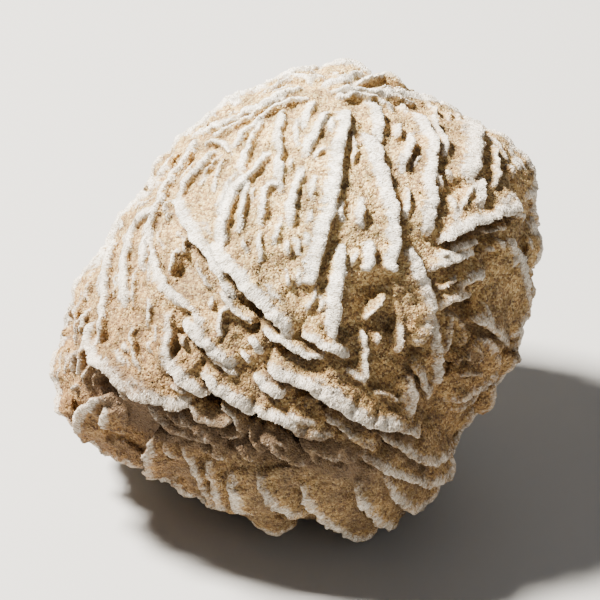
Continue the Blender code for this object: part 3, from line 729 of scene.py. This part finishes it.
def allCrests():
    chance = random.Random(blade["seed"])
    fineRamps = (blade["fineRamp"], blade["fineRamp"])
    crests = []

    def front(rows, ramps=None, sink=0.0):
        for width, drop, slope, *marks in rows:
            flat = curveThrough(np.array([(u, v, 0) for u, v in marks], float), blade["pathStep"])
            path = skinOver(flat[:, :2])
            crests.append(makeCrest(width, drop, slope, path, chance, ramps, sink))

    front(topFan)
    front(bluntFan, (blade["bluntRamp"], blade["endRamp"]))
    for rows in (leftFlank, rightFlank, shelves, underside):
        front(rows)
    for width, drop, slope, path in backPaths():
        path = skinAlong(curveThrough(path, blade["pathStep"]))
        crests.append(makeCrest(width, drop, slope, path, chance))
    fitSlopes(crests)
    front(fineRims, fineRamps, blade["fineSink"])
    front(recessRims, fineRamps, blade["recessSink"])
    print("crests laid out", len(crests))
    crests += addRibs(crests)
    print("with ribs", len(crests))
    return crests


# ---- the sandy core

# right, up, radius and depth in mm, with the fullest parts of the face first
hollows = [
    (4, 20, 26.0, -1.0), (-27, 8, 20.0, -0.6),
    (-7.5, -2.6, 5.5, 2.8), (-21, 6, 4.5, 2.4), (-34.5, -14.5, 4.5, 2.4), (31, -12.5, 5.0, 2.4),
    (-25, -20.5, 5.0, 2.6), (-17, -22, 7.0, 4.4), (-7, -25.5, 7.0, 4.4), (3, -27.5, 6.0, 3.0),
    (32, 9.5, 6.0, 1.8), (17, -6, 6.0, 1.6), (-30, -25, 7.0, 2.4), (-19, -10, 5.0, 1.6), (30, -3, 5.0, 1.6),
    (10, -20.5, 5.0, 1.8), (14, 2, 5.0, 1.6), (37, 21, 5.0, 1.6),
    (-36.2, -14.2, 2.0, 1.5), (-30.3, -2.2, 1.5, 1.2), (-21.5, 7.3, 2.0, 1.2), (-21.2, -6.1, 2.0, 1.2),
    (-7.9, -1.5, 1.8, 1.4), (1.8, -5.5, 1.8, 1.6), (3.3, 5.8, 1.1, 1.2), (24.9, -20.3, 2.5, 2.6),
    (30.6, -1.1, 2.0, 1.2), (3.5, 37.3, 1.5, 1.6),
]


def nearCrests(crests, points, reach):
    # for each station, the points near it with their places across, above and along the crest
    tree = treeOf(points)
    for crest in crests:
        for index, place in enumerate(crest["points"]):
            found = tree.find_range(place, reach)
            if not found:
                continue
            picks = np.array([item[1] for item in found])
            away = points[picks] - place
            ahead = away @ crest["forward"][index]
            kept = np.abs(ahead) < 0.7 * blade["step"]
            picks, away = picks[kept], away[kept]
            across, above = away @ crest["aside"][index], away @ crest["normals"][index]
            yield crest, index, picks, across, above, ahead[kept]


def makeCore(shape, crests):
    # rounded mass shaped from a ball, lumpy, hollowed, and dug out under the steep sides
    ball = bmesh.new()
    bmesh.ops.create_icosphere(ball, subdivisions=body["detail"], radius=1)
    skin = skinAlong(unit(np.array([vert.co for vert in ball.verts])))
    sink = np.array([noise.noise(Vector(point) / body["lumpSize"]) for point in skin.tolist()])
    sink = body["inset"] + body["lumps"] * sink
    for u, v, radius, depth in hollows:
        away = np.hypot(skin[:, 0] - u, skin[:, 1] - v) / radius
        sink += depth * np.exp(-2 * away * away) * ramp(skin[:, 2], -2, 6)
    dug = np.zeros(len(skin))
    for crest, index, picks, x, _, _ in nearCrests(crests, skin, 6.0):
        past = -x - crest["half"][index]
        width = body["grooveWidth"] + body["grooveWiden"] * crest["drop"]
        deep = body["grooveDepth"] + max(0.0, crest["drop"] - body["grooveFrom"])
        shade = ramp(past, -1.2, 0.1) * (1 - ramp(past, 0.35 * width, width)) * (1 - crest["fade"][index])
        dug[picks] = np.maximum(dug[picks], deep * shade)
    placeVerts(ball.verts, toWorld(skin - skinNormal(skin) * (sink + dug)[:, None]))
    merge(shape, ball)


# ---- the rose

rose = {
    "voxel": 0.36,              # mm
    "triangles": 194000,
    "pitContrast": 3, "pitBrightness": 1.35,
    "evenRecess": 0.7,          # share of the sand's relief that the recess loses
}

# name, kind, size in mm, strength in mm, where it works
lumps = [
    ("swell", "CLOUDS", 5.0, 0.35, None),
    ("bumps", "CLOUDS", 2.4, 0.75, "sand"),
    ("chips", "VORONOI", 0.9, 0.22, "crests"),
    ("pits", "PITS", 1.4, 0.32, "sand"),
    ("crumbs", "CLOUDS", 1.0, 0.26, "sand"),
    ("grit", "VORONOI", 0.7, 0.12, "sand"),
]


def vertexGroup(piece, name, weights):
    group = piece.vertex_groups.new(name=name)
    for level in range(1, 11):
        chosen = np.flatnonzero(np.round(weights * 10) == level)
        if len(chosen):
            group.add(chosen.tolist(), level / 10, "REPLACE")


def roughen(piece):
    for name, kind, size, strength, where in lumps:
        pattern = bpy.data.textures.new(name, "VORONOI" if kind == "VORONOI" else "CLOUDS")
        pattern.noise_scale = size * mm
        if kind != "VORONOI":
            pattern.noise_depth = 2
        if kind == "PITS":
            pattern.contrast = rose["pitContrast"]
            pattern.intensity = rose["pitBrightness"]
        push = piece.modifiers.new(name, "DISPLACE")
        push.texture = pattern
        push.texture_coords = "LOCAL"
        push.strength = strength * mm
        push.mid_level = 1.0 if kind == "PITS" else 0.5
        if where:
            push.vertex_group = where
    return bake(piece)


# places are right or up in mm, each with where the effect starts and where it is full
shading = {
    # the shadowed recess under the shelves, which gets painted shade: its middle line, how far it spreads,
    # and how much paleness its crests lose to it
    "recess": [(-34.5, -14.5), (-30, -18.5), (-24, -22), (-15, -23.8), (-6, -25.5), (4, -27.8), (11, -30)],
    "recessSpread": (5.2, 2.2), "recessShadeDulls": 0.3,
    # painted shade makes the crests duller low down and on the right
    "petalsBelow": (-20, -25), "rightOf": (12, 20), "rightUnder": (6, 0), "sideShadeDulls": 0.34,
    # the grooves' painted shade is lighter on the open upper face
    "openAbove": (-14, -8), "openLeftOf": (22, 14), "openLifts": 0.35,
    # the petals' sand gets painted shade away from their rims
    "shaded": (-22, -27), "petalShadeTo": 0.6,
}


def inRecess(points):
    line = curveThrough(np.array([(u, v, 0) for u, v in shading["recess"]], float), 1.0)[:, :2]
    away = np.min([np.hypot(points[:, 0] - u, points[:, 1] - v) for u, v in line], axis=0)
    return ramp(away, *shading["recessSpread"]) * (points[:, 2] > 0)


def markCrests(mesh, crests):
    # for each point, how pale it is, how much painted shade it gets, and where it lies on its crest
    points = toFace(coordinates(mesh))
    pale, shade, lit, along, side = (np.zeros(len(points)) for _ in range(5))
    for crest, index, picks, x, y, ahead in nearCrests(crests, points, 5.0):
        half, top, reach = crest["half"][index], crest["crest"][index], crest["reach"][index]
        whole = 1 - crest["fade"][index] ** 1.5
        near = ramp(x, -half - 0.3, -half + 0.15)
        near = near * (1 - ramp(x, 0.5 * half, 1.5 * half + 0.5 + min(0.3 * reach, 1.2)))
        mark = near * ramp(y, top - 1.7, top - 0.5) * whole * crest["white"]
        better = mark > pale[picks]
        chosen = picks[better]
        pale[chosen] = mark[better]
        along[chosen] = crest["along"][index] + ahead[better]
        side[chosen] = x[better]
        # painted shade in the groove past the steep side
        past = -x - half
        dark = ramp(past, -0.5, 0.2) * (1 - ramp(past, 0.5, 0.8 + 0.5 * crest["drop"]))
        dark *= ramp(top - y, 0.7, 1.6) * whole * min(1.0, 0.2 + 0.22 * crest["drop"])
        shade[picks] = np.maximum(shade[picks], dark)
        slope = ramp(-past, 0, 0.6) * (1 - ramp(x, 0.6 * half, half + 3.6)) * whole
        lit[picks] = np.maximum(lit[picks], slope)
    right, up, front = points[:, 0], points[:, 1], points[:, 2] > 0
    # painted shade over the recess, which also dulls its crests
    recess = inRecess(points)
    # painted shade dulls the crests low down and on the right
    shadedLowAndRight = ramp(right, *shading["rightOf"]) * ramp(up, *shading["rightUnder"])
    shadedLowAndRight = np.maximum(ramp(up, *shading["petalsBelow"]), shadedLowAndRight) * front
    pale *= (1 - shading["recessShadeDulls"] * recess) * (1 - shading["sideShadeDulls"] * shadedLowAndRight)
    # less painted shade in the grooves of the open upper face
    openly = ramp(up, *shading["openAbove"]) * ramp(right, *shading["openLeftOf"]) * front
    shade *= 1 - shading["openLifts"] * openly
    # painted shade on the petals away from their rims
    shaded = shading["petalShadeTo"] * ramp(up, *shading["shaded"]) * front * (1 - lit)
    shade = np.maximum(np.maximum(shade, recess), shaded)
    # depth below the skin, which the crust darkens with as painted shade
    depth = (1 - fullness(points) ** (1 / body["roundness"])) * np.linalg.norm(points, axis=1)
    return {"pale": pale, "shade": shade, "along": along, "side": side, "depth": depth}


def flattenBase(shape):
    # cut level where the rose rests
    cut = bmesh.ops.bisect_plane(shape, geom=[*shape.verts, *shape.edges, *shape.faces], dist=1e-7,
                                 plane_co=(0, 0, 0), plane_no=(0, 0, 1), clear_inner=True)
    rim = [item for item in cut["geom_cut"] if isinstance(item, bmesh.types.BMEdge)]
    bmesh.ops.triangle_fill(shape, use_beauty=True, edges=rim, normal=(0, 0, -1))


def trimmed(piece):
    # level at the foot, all triangles, and no more of them than asked for
    shape = bmesh.new()
    shape.from_mesh(piece.data)
    flattenBase(shape)
    bmesh.ops.triangulate(shape, faces=shape.faces)
    shape.to_mesh(piece.data)
    shape.free()
    trim = piece.modifiers.new("trim", "DECIMATE")
    trim.ratio = rose["triangles"] / len(piece.data.polygons)
    return bake(piece)


def makeRose(crests):
    shape = bmesh.new()
    for crest in crests:
        addBlade(shape, crest)
    bmesh.ops.recalc_face_normals(shape, faces=shape.faces)
    makeCore(shape, crests)
    piece = addObject("rose", meshOf(shape, "rose"))
    mesher = piece.modifiers.new("mesher", "REMESH")
    mesher.mode = "VOXEL"
    mesher.voxel_size = rose["voxel"] * mm
    bake(piece)
    print("rose remeshed", len(piece.data.vertices), "points")
    pale = markCrests(piece.data, crests)["pale"]
    recess = inRecess(toFace(coordinates(piece.data)))
    vertexGroup(piece, "crests", pale)
    vertexGroup(piece, "sand", (1 - pale) * (1 - rose["evenRecess"] * recess))
    roughen(piece)
    piece.vertex_groups.clear()
    trimmed(piece)
    for name, values in markCrests(piece.data, crests).items():
        setPoint(piece.data, name, values)
    piece.data.shade_smooth()
    print("rose shaped", len(piece.data.polygons), "faces")
    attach(piece, "root")
    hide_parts("sand_rose")
    return piece


# ---- sand grains, and short gypsum needles along the crests

grains = {
    # name: faces, count, size in mm, share buried, where it lies, tone range, seed
    "coarse_sand": (20, 5500, (0.3, 0.55), 0.55, "sand", (0.05, 1.0), 41),
    "fine_sand_a": (12, 15500, (0.18, 0.34), 0.6, "sand", (0.25, 0.75), 42),
    "fine_sand_b": (12, 15500, (0.18, 0.34), 0.6, "sand", (0.35, 0.85), 43),
    "fine_sand_c": (12, 9000, (0.18, 0.34), 0.6, "sand", (0.3, 0.8), 44),
    "crest_needles": (12, 16000, (0.17, 0.27), 0.72, "crest", (0.7, 1.0), 45),
}
stones = {
    "variants": 24,             # differently knocked grains
    "knock": 0.14,
    "cube": 0.72,
    "darkShare": 0.035, "darkTone": 0.15,
    "stretch": (1.6, 3.2),      # needles, which lie across their crest
    "swerve": 0.15,
    "lowest": 0.6,              # mm above the ground
    "behind": {"sand": 0.8, "crest": 0.5},  # how thickly they lie on the back
}


def grainShapes(faces, dice):
    # knocked little stones, one unit across
    shape = bmesh.new()
    if faces == 20:
        bmesh.ops.create_icosphere(shape, subdivisions=1, radius=0.5)
    else:
        bmesh.ops.create_cube(shape, size=stones["cube"])
        bmesh.ops.triangulate(shape, faces=shape.faces)
    points = np.array([vert.co for vert in shape.verts])
    corners = np.array([[vert.index for vert in face.verts] for face in shape.faces])
    shape.free()
    knocks = dice.uniform(-stones["knock"], stones["knock"], (stones["variants"], *points.shape))
    return points + knocks, corners


def randomTurns(count, dice):
    w, x, y, z = unit(dice.normal(size=(count, 4))).T
    return np.stack([
        np.stack([1 - 2 * (y * y + z * z), 2 * (x * y - z * w), 2 * (x * z + y * w)], axis=-1),
        np.stack([2 * (x * y + z * w), 1 - 2 * (x * x + z * z), 2 * (y * z - x * w)], axis=-1),
        np.stack([2 * (x * z - y * w), 2 * (y * z + x * w), 1 - 2 * (x * x + y * y)], axis=-1),
    ], axis=1)


def surfaceOf(piece):
    mesh = piece.data
    corners = np.empty(len(mesh.loops), dtype=np.int64)
    mesh.loops.foreach_get("vertex_index", corners)
    corners = corners.reshape(-1, 3)
    points = coordinates(mesh)
    a, b, c = (points[corners[:, side]] for side in range(3))
    cross = np.cross(b - a, c - a)
    area = np.linalg.norm(cross, axis=1)
    pale, shade = (pointValues(mesh, name)[corners].mean(axis=1) for name in ("pale", "shade"))
    normal = cross / np.maximum(area, 1e-20)[:, None]
    return {"corners": (a, b, c), "normal": normal, "area": area, "pale": pale, "shade": shade}


def needleTurns(spots, normals, crests, dice):
    # turn each needle across the crest that it lies on
    tree = treeOf(np.vstack([crest["points"] for crest in crests]))
    asides = np.vstack([crest["aside"] for crest in crests])
    nearest = [tree.find(spot)[1] for spot in toFace(spots).tolist()]
    across = toWorld(asides[nearest]) - toWorld(np.zeros((1, 3)))
    across = unit(across) + dice.normal(0, stones["swerve"], across.shape)
    across = unit(across - normals * (across * normals).sum(axis=1, keepdims=True))
    return np.stack([across, np.cross(normals, across), normals], axis=-1)


def scatter(name, surface, crests):
    faces, count, size, bury, liking, tones, seed = grains[name]
    dice = np.random.default_rng(seed)
    shapes, corners = grainShapes(faces, dice)
    a, b, c = surface["corners"]
    pale = surface["pale"]
    liked = ramp(pale, 0.45, 0.9) if liking == "crest" else 1 - 0.85 * ramp(pale, 0.35, 0.85)
    weight = surface["area"] * liked * (a[:, 2] > stones["lowest"] * mm)
    weight = weight * np.where(toFace(a)[:, 2] > 0, 1.0, stones["behind"][liking])
    chosen = dice.choice(len(a), count, p=weight / weight.sum())
    s, t = np.sort(dice.random((2, count)), axis=0)[..., None]
    spots = a[chosen] * s + b[chosen] * (t - s) + c[chosen] * (1 - t)
    across = dice.uniform(*size, count) * mm
    stretch = dice.uniform(0.75, 1.2, (count, 1, 3)) * across[:, None, None]
    centres = spots + surface["normal"][chosen] * (across * (0.5 - bury))[:, None]
    if liking == "crest":
        stretch[:, :, 0] *= dice.uniform(*stones["stretch"], (count, 1))
        turns = needleTurns(spots, surface["normal"][chosen], crests, dice)
    else:
        turns = randomTurns(count, dice)
    made = shapes[dice.integers(stones["variants"], size=count)] * stretch
    made = np.einsum("gij,gkj->gki", turns, made) + centres[:, None]
    number = made.shape[1]
    everyCorner = corners[None] + (np.arange(count) * number)[:, None, None]
    mesh = bpy.data.meshes.new(name)
    mesh.from_pydata(made.reshape(-1, 3), [], everyCorner.reshape(-1, 3))
    tone = dice.uniform(*tones, count)
    tone[dice.random(count) < stones["darkShare"]] *= stones["darkTone"]
    for key, values in (("tone", tone), ("shade", surface["shade"][chosen]), ("pale", pale[chosen])):
        setPoint(mesh, key, np.repeat(values, number))
    piece = addObject(name, mesh)
    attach(piece, "root")
    print(name, len(mesh.polygons), "faces")
    return piece


# ---- materials

def node(tree, kind, **values):
    made = tree.nodes.new(kind)
    for name, value in values.items():
        setattr(made, name, value)
    return made


def joined(tree, kind, *inputs, **values):
    # a node with its inputs linked or set in order, None to leave one alone
    made = node(tree, kind, **values)
    for socket, value in zip([s for s in made.inputs if s.enabled], inputs):
        if value is None:
            continue
        if isinstance(value, bpy.types.NodeSocket):
            tree.links.new(value, socket)
        else:
            socket.default_value = value
    return made


def maths(tree, operation, *inputs):
    return joined(tree, "ShaderNodeMath", *inputs, operation=operation).outputs[0]


def mixed(tree, factor, a, b, blend="MIX"):
    return joined(tree, "ShaderNodeMix", factor, a, b, data_type="RGBA", blend_type=blend).outputs["Result"]


def smoothStep(tree, value, low, high, start=0.0, end=1.0):
    made = joined(tree, "ShaderNodeMapRange", value, low, high, start, end, interpolation_type="SMOOTHSTEP")
    return made.outputs[0]


def noiseOf(tree, vector, scale, detail=2.0, rough=0.5):
    made = node(tree, "ShaderNodeTexNoise")
    tree.links.new(vector, made.inputs["Vector"])
    made.inputs["Scale"].default_value = scale
    made.inputs["Detail"].default_value = detail
    made.inputs["Roughness"].default_value = rough
    return made.outputs["Fac"]


def rampOf(tree, value, *stops):
    made = node(tree, "ShaderNodeValToRGB")
    tree.links.new(value, made.inputs["Fac"])
    elements = made.color_ramp.elements
    while len(elements) < len(stops):
        elements.new(0.5)
    for element, (place, colour) in zip(elements, stops):
        element.position = place
        element.color = (*colour, 1)
    return made.outputs["Color"]


def newGroup(name, inputs, outputs):
    tree = bpy.data.node_groups.new(name, "ShaderNodeTree")
    for label, kind in inputs.items():
        tree.interface.new_socket(name=label, in_out="INPUT", socket_type=kind)
    for label, kind in outputs.items():
        tree.interface.new_socket(name=label, in_out="OUTPUT", socket_type=kind)
    return tree, node(tree, "NodeGroupInput").outputs, node(tree, "NodeGroupOutput").inputs


colours = {
    "grainDark": (0.15, 0.09, 0.044),
    "grainBrown": (0.23, 0.137, 0.06),
    "grainTan": (0.41, 0.262, 0.10),
    "grainStraw": (0.56, 0.40, 0.165),
    "grainPale": (0.72, 0.58, 0.31),
    # gap: the dark brown that painted shade mixes in, in grooves, hollows and between grains
    "gap": (0.10, 0.062, 0.035),
    "crest": (0.92, 0.875, 0.775),
    "crestDull": (0.43, 0.37, 0.28),
    "orange": (0.97, 0.83, 0.68),
    # painted shade multiplied over the right flank
    "rightShade": (0.82, 0.75, 0.71),
    # painted shade multiplied over the left flank
    "leftShade": (0.77, 0.73, 0.69),
    # painted shade low down, which also makes the lower part browner
    "under": (0.63, 0.57, 0.52),
}


def makeStainAndShade():
    # slow drift of the sand's colour over the rose, a rust stain low on the left, and painted shade over the
    # right flank, the left flank and low down
    tree, source, out = newGroup("stainAndShade", {"Color": "NodeSocketColor"}, {"Color": "NodeSocketColor"})
    place = node(tree, "ShaderNodeTexCoord").outputs["Object"]
    drift = noiseOf(tree, place, 55, 2)
    patch = noiseOf(tree, place, 260, 3)
    x, _, z = joined(tree, "ShaderNodeSeparateXYZ", place).outputs
    left = smoothStep(tree, x, 0.0, -0.04)
    low = smoothStep(tree, z, 0.05, 0.015)
    rusty = maths(tree, "MULTIPLY", maths(tree, "MULTIPLY", left, low), smoothStep(tree, drift, 0.35, 0.6))
    # painted shade over the right flank
    right = maths(tree, "MULTIPLY", smoothStep(tree, x, 0.005, 0.035), 0.75)
    warmed = mixed(tree, rusty, source["Color"], (*colours["orange"], 1), "MULTIPLY")
    shaded = mixed(tree, right, warmed, (*colours["rightShade"], 1), "MULTIPLY")
    # painted shade over the left flank
    shaded = mixed(tree, smoothStep(tree, x, -0.004, -0.03), shaded, (*colours["leftShade"], 1), "MULTIPLY")
    # painted shade low down, with a browner tone there too
    rise = joined(tree, "ShaderNodeVectorMath", place, (0, 0.574, 0.819), operation="DOT_PRODUCT")
    rise = rise.outputs["Value"]    # height as seen by the eye
    under = mixed(tree, smoothStep(tree, rise, 0.044, 0.012), shaded, (*colours["under"], 1), "MULTIPLY")
    light = smoothStep(tree, patch, 0.34, 0.62, 0.62, 1.14)
    tinted = joined(tree, "ShaderNodeVectorMath", under, operation="SCALE")
    tree.links.new(light, tinted.inputs["Scale"])
    tree.links.new(tinted.outputs[0], out["Color"])
    return tree


def makeGrit():
    # grains too fine to model: a colour for each, painted shade in the gaps between them and in small pits,
    # and their height
    tree, source, out = newGroup("grit", {"Scale": "NodeSocketFloat"},
                                 {"Color": "NodeSocketColor", "Height": "NodeSocketFloat"})
    place = node(tree, "ShaderNodeTexCoord").outputs["Object"]
    cells = node(tree, "ShaderNodeTexVoronoi")
    tree.links.new(place, cells.inputs["Vector"])
    tree.links.new(source["Scale"], cells.inputs["Scale"])
    pick = joined(tree, "ShaderNodeSeparateColor", cells.outputs["Color"]).outputs[0]
    colour = rampOf(tree, pick, (0.0, colours["grainDark"]), (0.16, colours["grainBrown"]),
                    (0.42, colours["grainTan"]), (0.74, colours["grainStraw"]), (1.0, colours["grainPale"]))
    # painted shade in the gaps between the grains and in the pits
    gap = smoothStep(tree, cells.outputs["Distance"], 0.45, 0.75)
    pits = smoothStep(tree, noiseOf(tree, place, 900, 2), 0.62, 0.72)
    dark = maths(tree, "MAXIMUM", maths(tree, "MULTIPLY", gap, 0.2), maths(tree, "MULTIPLY", pits, 0.3))
    tree.links.new(mixed(tree, dark, colour, (*colours["gap"], 1)), out["Color"])
    height = maths(tree, "SUBTRACT", maths(tree, "SUBTRACT", 1.0, cells.outputs["Distance"]), pits)
    tree.links.new(height, out["Height"])
    return tree


def useGroup(tree, group, *inputs):
    made = node(tree, "ShaderNodeGroup", node_tree=group)
    for socket, value in zip(made.inputs, inputs):
        if isinstance(value, bpy.types.NodeSocket):
            tree.links.new(value, socket)
        else:
            socket.default_value = value
    return made.outputs


def startMaterial(name):
    material = bpy.data.materials.new(name)
    material.use_nodes = True
    tree = material.node_tree
    return material, tree, tree.nodes["Principled BSDF"]


def attribute(tree, name):
    return node(tree, "ShaderNodeAttribute", attribute_name=name).outputs["Fac"]


def gypsumCrust(stainAndShade, grit):
    material, tree, shader = startMaterial("gypsumCrust")
    place = node(tree, "ShaderNodeTexCoord").outputs["Object"]
    pale, shade = attribute(tree, "pale"), attribute(tree, "shade")
    sand = useGroup(tree, grit, 2600.0)
    broken = maths(tree, "MULTIPLY", maths(tree, "SUBTRACT", noiseOf(tree, place, 1100, 4, 0.65), 0.5), 1.3)
    patchy = maths(tree, "MULTIPLY", maths(tree, "SUBTRACT", noiseOf(tree, place, 240, 3), 0.5), 1.0)
    frost = smoothStep(tree, maths(tree, "ADD", maths(tree, "ADD", pale, broken), patchy), 0.18, 0.85)
    comb = node(tree, "ShaderNodeCombineXYZ")
    tree.links.new(attribute(tree, "along"), comb.inputs[0])
    tree.links.new(maths(tree, "MULTIPLY", attribute(tree, "side"), 0.35), comb.inputs[1])
    streaks = noiseOf(tree, comb.outputs[0], 3.6, 3, 0.6)
    clean = smoothStep(tree, streaks, 0.37, 0.57)
    crest = mixed(tree, clean, (*colours["crestDull"], 1), (*colours["crest"], 1))
    sandy = useGroup(tree, stainAndShade, sand["Color"])["Color"]
    # the crests take part of the stain's colour and its painted shade
    dimmed = mixed(tree, 0.6, crest, useGroup(tree, stainAndShade, crest)["Color"])
    surface = mixed(tree, frost, sandy, dimmed)
    # painted shade: darker deeper below the skin and where the shade mark lies, less on white crests
    deep = smoothStep(tree, attribute(tree, "depth"), 2.2, 5.0, 0.0, 0.6)
    paintedShade = maths(tree, "MAXIMUM", maths(tree, "MULTIPLY", shade, 0.82), deep)
    paintedShade = maths(tree, "MULTIPLY", paintedShade, maths(tree, "SUBTRACT", 1.0, maths(tree, "MULTIPLY", frost, 0.6)))
    tree.links.new(mixed(tree, paintedShade, surface, (*colours["gap"], 1)), shader.inputs["Base Color"])
    fine = noiseOf(tree, place, 4200, 2)
    height = maths(tree, "ADD", maths(tree, "MULTIPLY", sand["Height"], maths(tree, "SUBTRACT", 1.0, frost)),
                   maths(tree, "MULTIPLY", streaks, maths(tree, "MULTIPLY", frost, 2.6)))
    height = maths(tree, "ADD", height, maths(tree, "MULTIPLY", fine, 0.6))
    bump = joined(tree, "ShaderNodeBump", 0.9, 0.00022)
    tree.links.new(height, bump.inputs["Height"])
    tree.links.new(bump.outputs["Normal"], shader.inputs["Normal"])
    tree.links.new(smoothStep(tree, fine, 0.3, 0.7, 0.78, 0.98), shader.inputs["Roughness"])
    shader.inputs["Specular IOR Level"].default_value = 0.35
    return material


def grainMaterial(stainAndShade):
    material, tree, shader = startMaterial("sandGrain")
    place = node(tree, "ShaderNodeTexCoord").outputs["Object"]
    tone = attribute(tree, "tone")
    fine = noiseOf(tree, place, 3800, 2)
    spread = maths(tree, "ADD", tone, maths(tree, "MULTIPLY", maths(tree, "SUBTRACT", fine, 0.5), 0.5))
    # grains at the pits are darker: partly painted shade, partly dirt
    pits = smoothStep(tree, noiseOf(tree, place, 900, 2), 0.6, 0.7, 0.0, 0.22)
    spread = maths(tree, "SUBTRACT", spread, pits)
    colour = rampOf(tree, spread, (0.0, colours["grainDark"]), (0.14, colours["grainBrown"]),
                    (0.4, colours["grainTan"]), (0.72, colours["grainStraw"]), (1.0, colours["grainPale"]))
    sandy = useGroup(tree, stainAndShade, colour)["Color"]
    frost = smoothStep(tree, attribute(tree, "pale"), 0.15, 0.8, 0.0, 0.9)
    sandy = mixed(tree, frost, sandy, useGroup(tree, stainAndShade, (*colours["crest"], 1))["Color"])
    # painted shade taken from the rose's surface under each grain
    paintedShade = maths(tree, "MULTIPLY", attribute(tree, "shade"), 0.8)
    tree.links.new(mixed(tree, paintedShade, sandy, (*colours["gap"], 1)), shader.inputs["Base Color"])
    tree.links.new(smoothStep(tree, fine, 0.3, 0.7, 0.45, 0.85), shader.inputs["Roughness"])
    bump = joined(tree, "ShaderNodeBump", 0.5, 0.0001)
    tree.links.new(fine, bump.inputs["Height"])
    tree.links.new(bump.outputs["Normal"], shader.inputs["Normal"])
    return material


def needleMaterial(stainAndShade):
    material, tree, shader = startMaterial("crestNeedle")
    place = node(tree, "ShaderNodeTexCoord").outputs["Object"]
    fine = noiseOf(tree, place, 3800, 2)
    worn = smoothStep(tree, noiseOf(tree, place, 620, 3), 0.54, 0.66, 0.0, 0.4)
    tone = maths(tree, "ADD", attribute(tree, "tone"), maths(tree, "SUBTRACT", fine, 0.5))
    tone = maths(tree, "SUBTRACT", tone, worn)
    colour = rampOf(tree, tone, (0.5, colours["crestDull"]), (0.95, colours["crest"]))
    # the needles take part of the stain's colour and its painted shade
    dimmed = mixed(tree, 0.6, colour, useGroup(tree, stainAndShade, colour)["Color"])
    tree.links.new(dimmed, shader.inputs["Base Color"])
    tree.links.new(smoothStep(tree, fine, 0.3, 0.7, 0.6, 0.9), shader.inputs["Roughness"])
    return material


# ---- camera, lights and floor

def aim(piece, at):
    piece.rotation_euler = (at - piece.location).to_track_quat("-Z", "Y").to_euler()


def makeCamera():
    data = bpy.data.cameras.new("camera")
    camera = addObject("camera", data)
    data.sensor_width = view["sensor"]
    data.lens = view["sensor"] * view["distance"] / view["frameWidth"]
    data.clip_start = 0.05
    camera.location = middle + toEye * view["distance"]
    aim(camera, middle)
    bpy.context.scene.camera = camera


lamps = {
    # where from, watts, size in metres, colour
    "key": ((-0.58, 0.12, 0.95), 116, 0.2, (1.0, 0.95, 0.87)),
    "fill": ((0.5, -0.9, 0.6), 2.0, 0.8, (1.0, 0.98, 0.95)),
    "rear": ((0.2, 0.9, 0.6), 2.5, 0.8, (1.0, 0.98, 0.95)),
}
studio = {"colour": (0.95, 0.96, 1.0), "strength": 0.15}


def makeLamps():
    for name, (side, watts, size, colour) in lamps.items():
        data = bpy.data.lights.new(name, "AREA")
        data.energy = watts
        data.size = size
        data.color = colour
        lamp = addObject(name, data)
        lamp.location = middle + Vector(side)
        aim(lamp, middle)
    world = bpy.data.worlds.new("studio")
    world.use_nodes = True
    background = world.node_tree.nodes["Background"]
    background.inputs["Color"].default_value = (*studio["colour"], 1)
    background.inputs["Strength"].default_value = studio["strength"]
    bpy.context.scene.world = world


ground = {
    "reach": 3,                 # metres to each side
    "below": 0.5,               # mm under the rose's foot
    "colour": (0.38, 0.375, 0.365), "roughness": 0.9,
}


def makeFloor():
    shape = bmesh.new()
    bmesh.ops.create_grid(shape, x_segments=1, y_segments=1, size=ground["reach"])
    bmesh.ops.translate(shape, verts=shape.verts, vec=(0, 0, -ground["below"] * mm))
    floor = addObject("floor", meshOf(shape, "floor"))
    material, _, shader = startMaterial("paleFloor")
    shader.inputs["Base Color"].default_value = (*ground["colour"], 1)
    shader.inputs["Roughness"].default_value = ground["roughness"]
    floor.data.materials.append(material)


makeCamera()
makeLamps()
makeFloor()
crests = allCrests()
roseBody = makeRose(crests)
stainAndShade, grit = makeStainAndShade(), makeGrit()
roseBody.data.materials.clear()
roseBody.data.materials.append(gypsumCrust(stainAndShade, grit))
surface = surfaceOf(roseBody)
sandFinish, needleFinish = grainMaterial(stainAndShade), needleMaterial(stainAndShade)
for name in grains:
    finish = needleFinish if name == "crest_needles" else sandFinish
    scatter(name, surface, crests).data.materials.append(finish)
print("materials made")
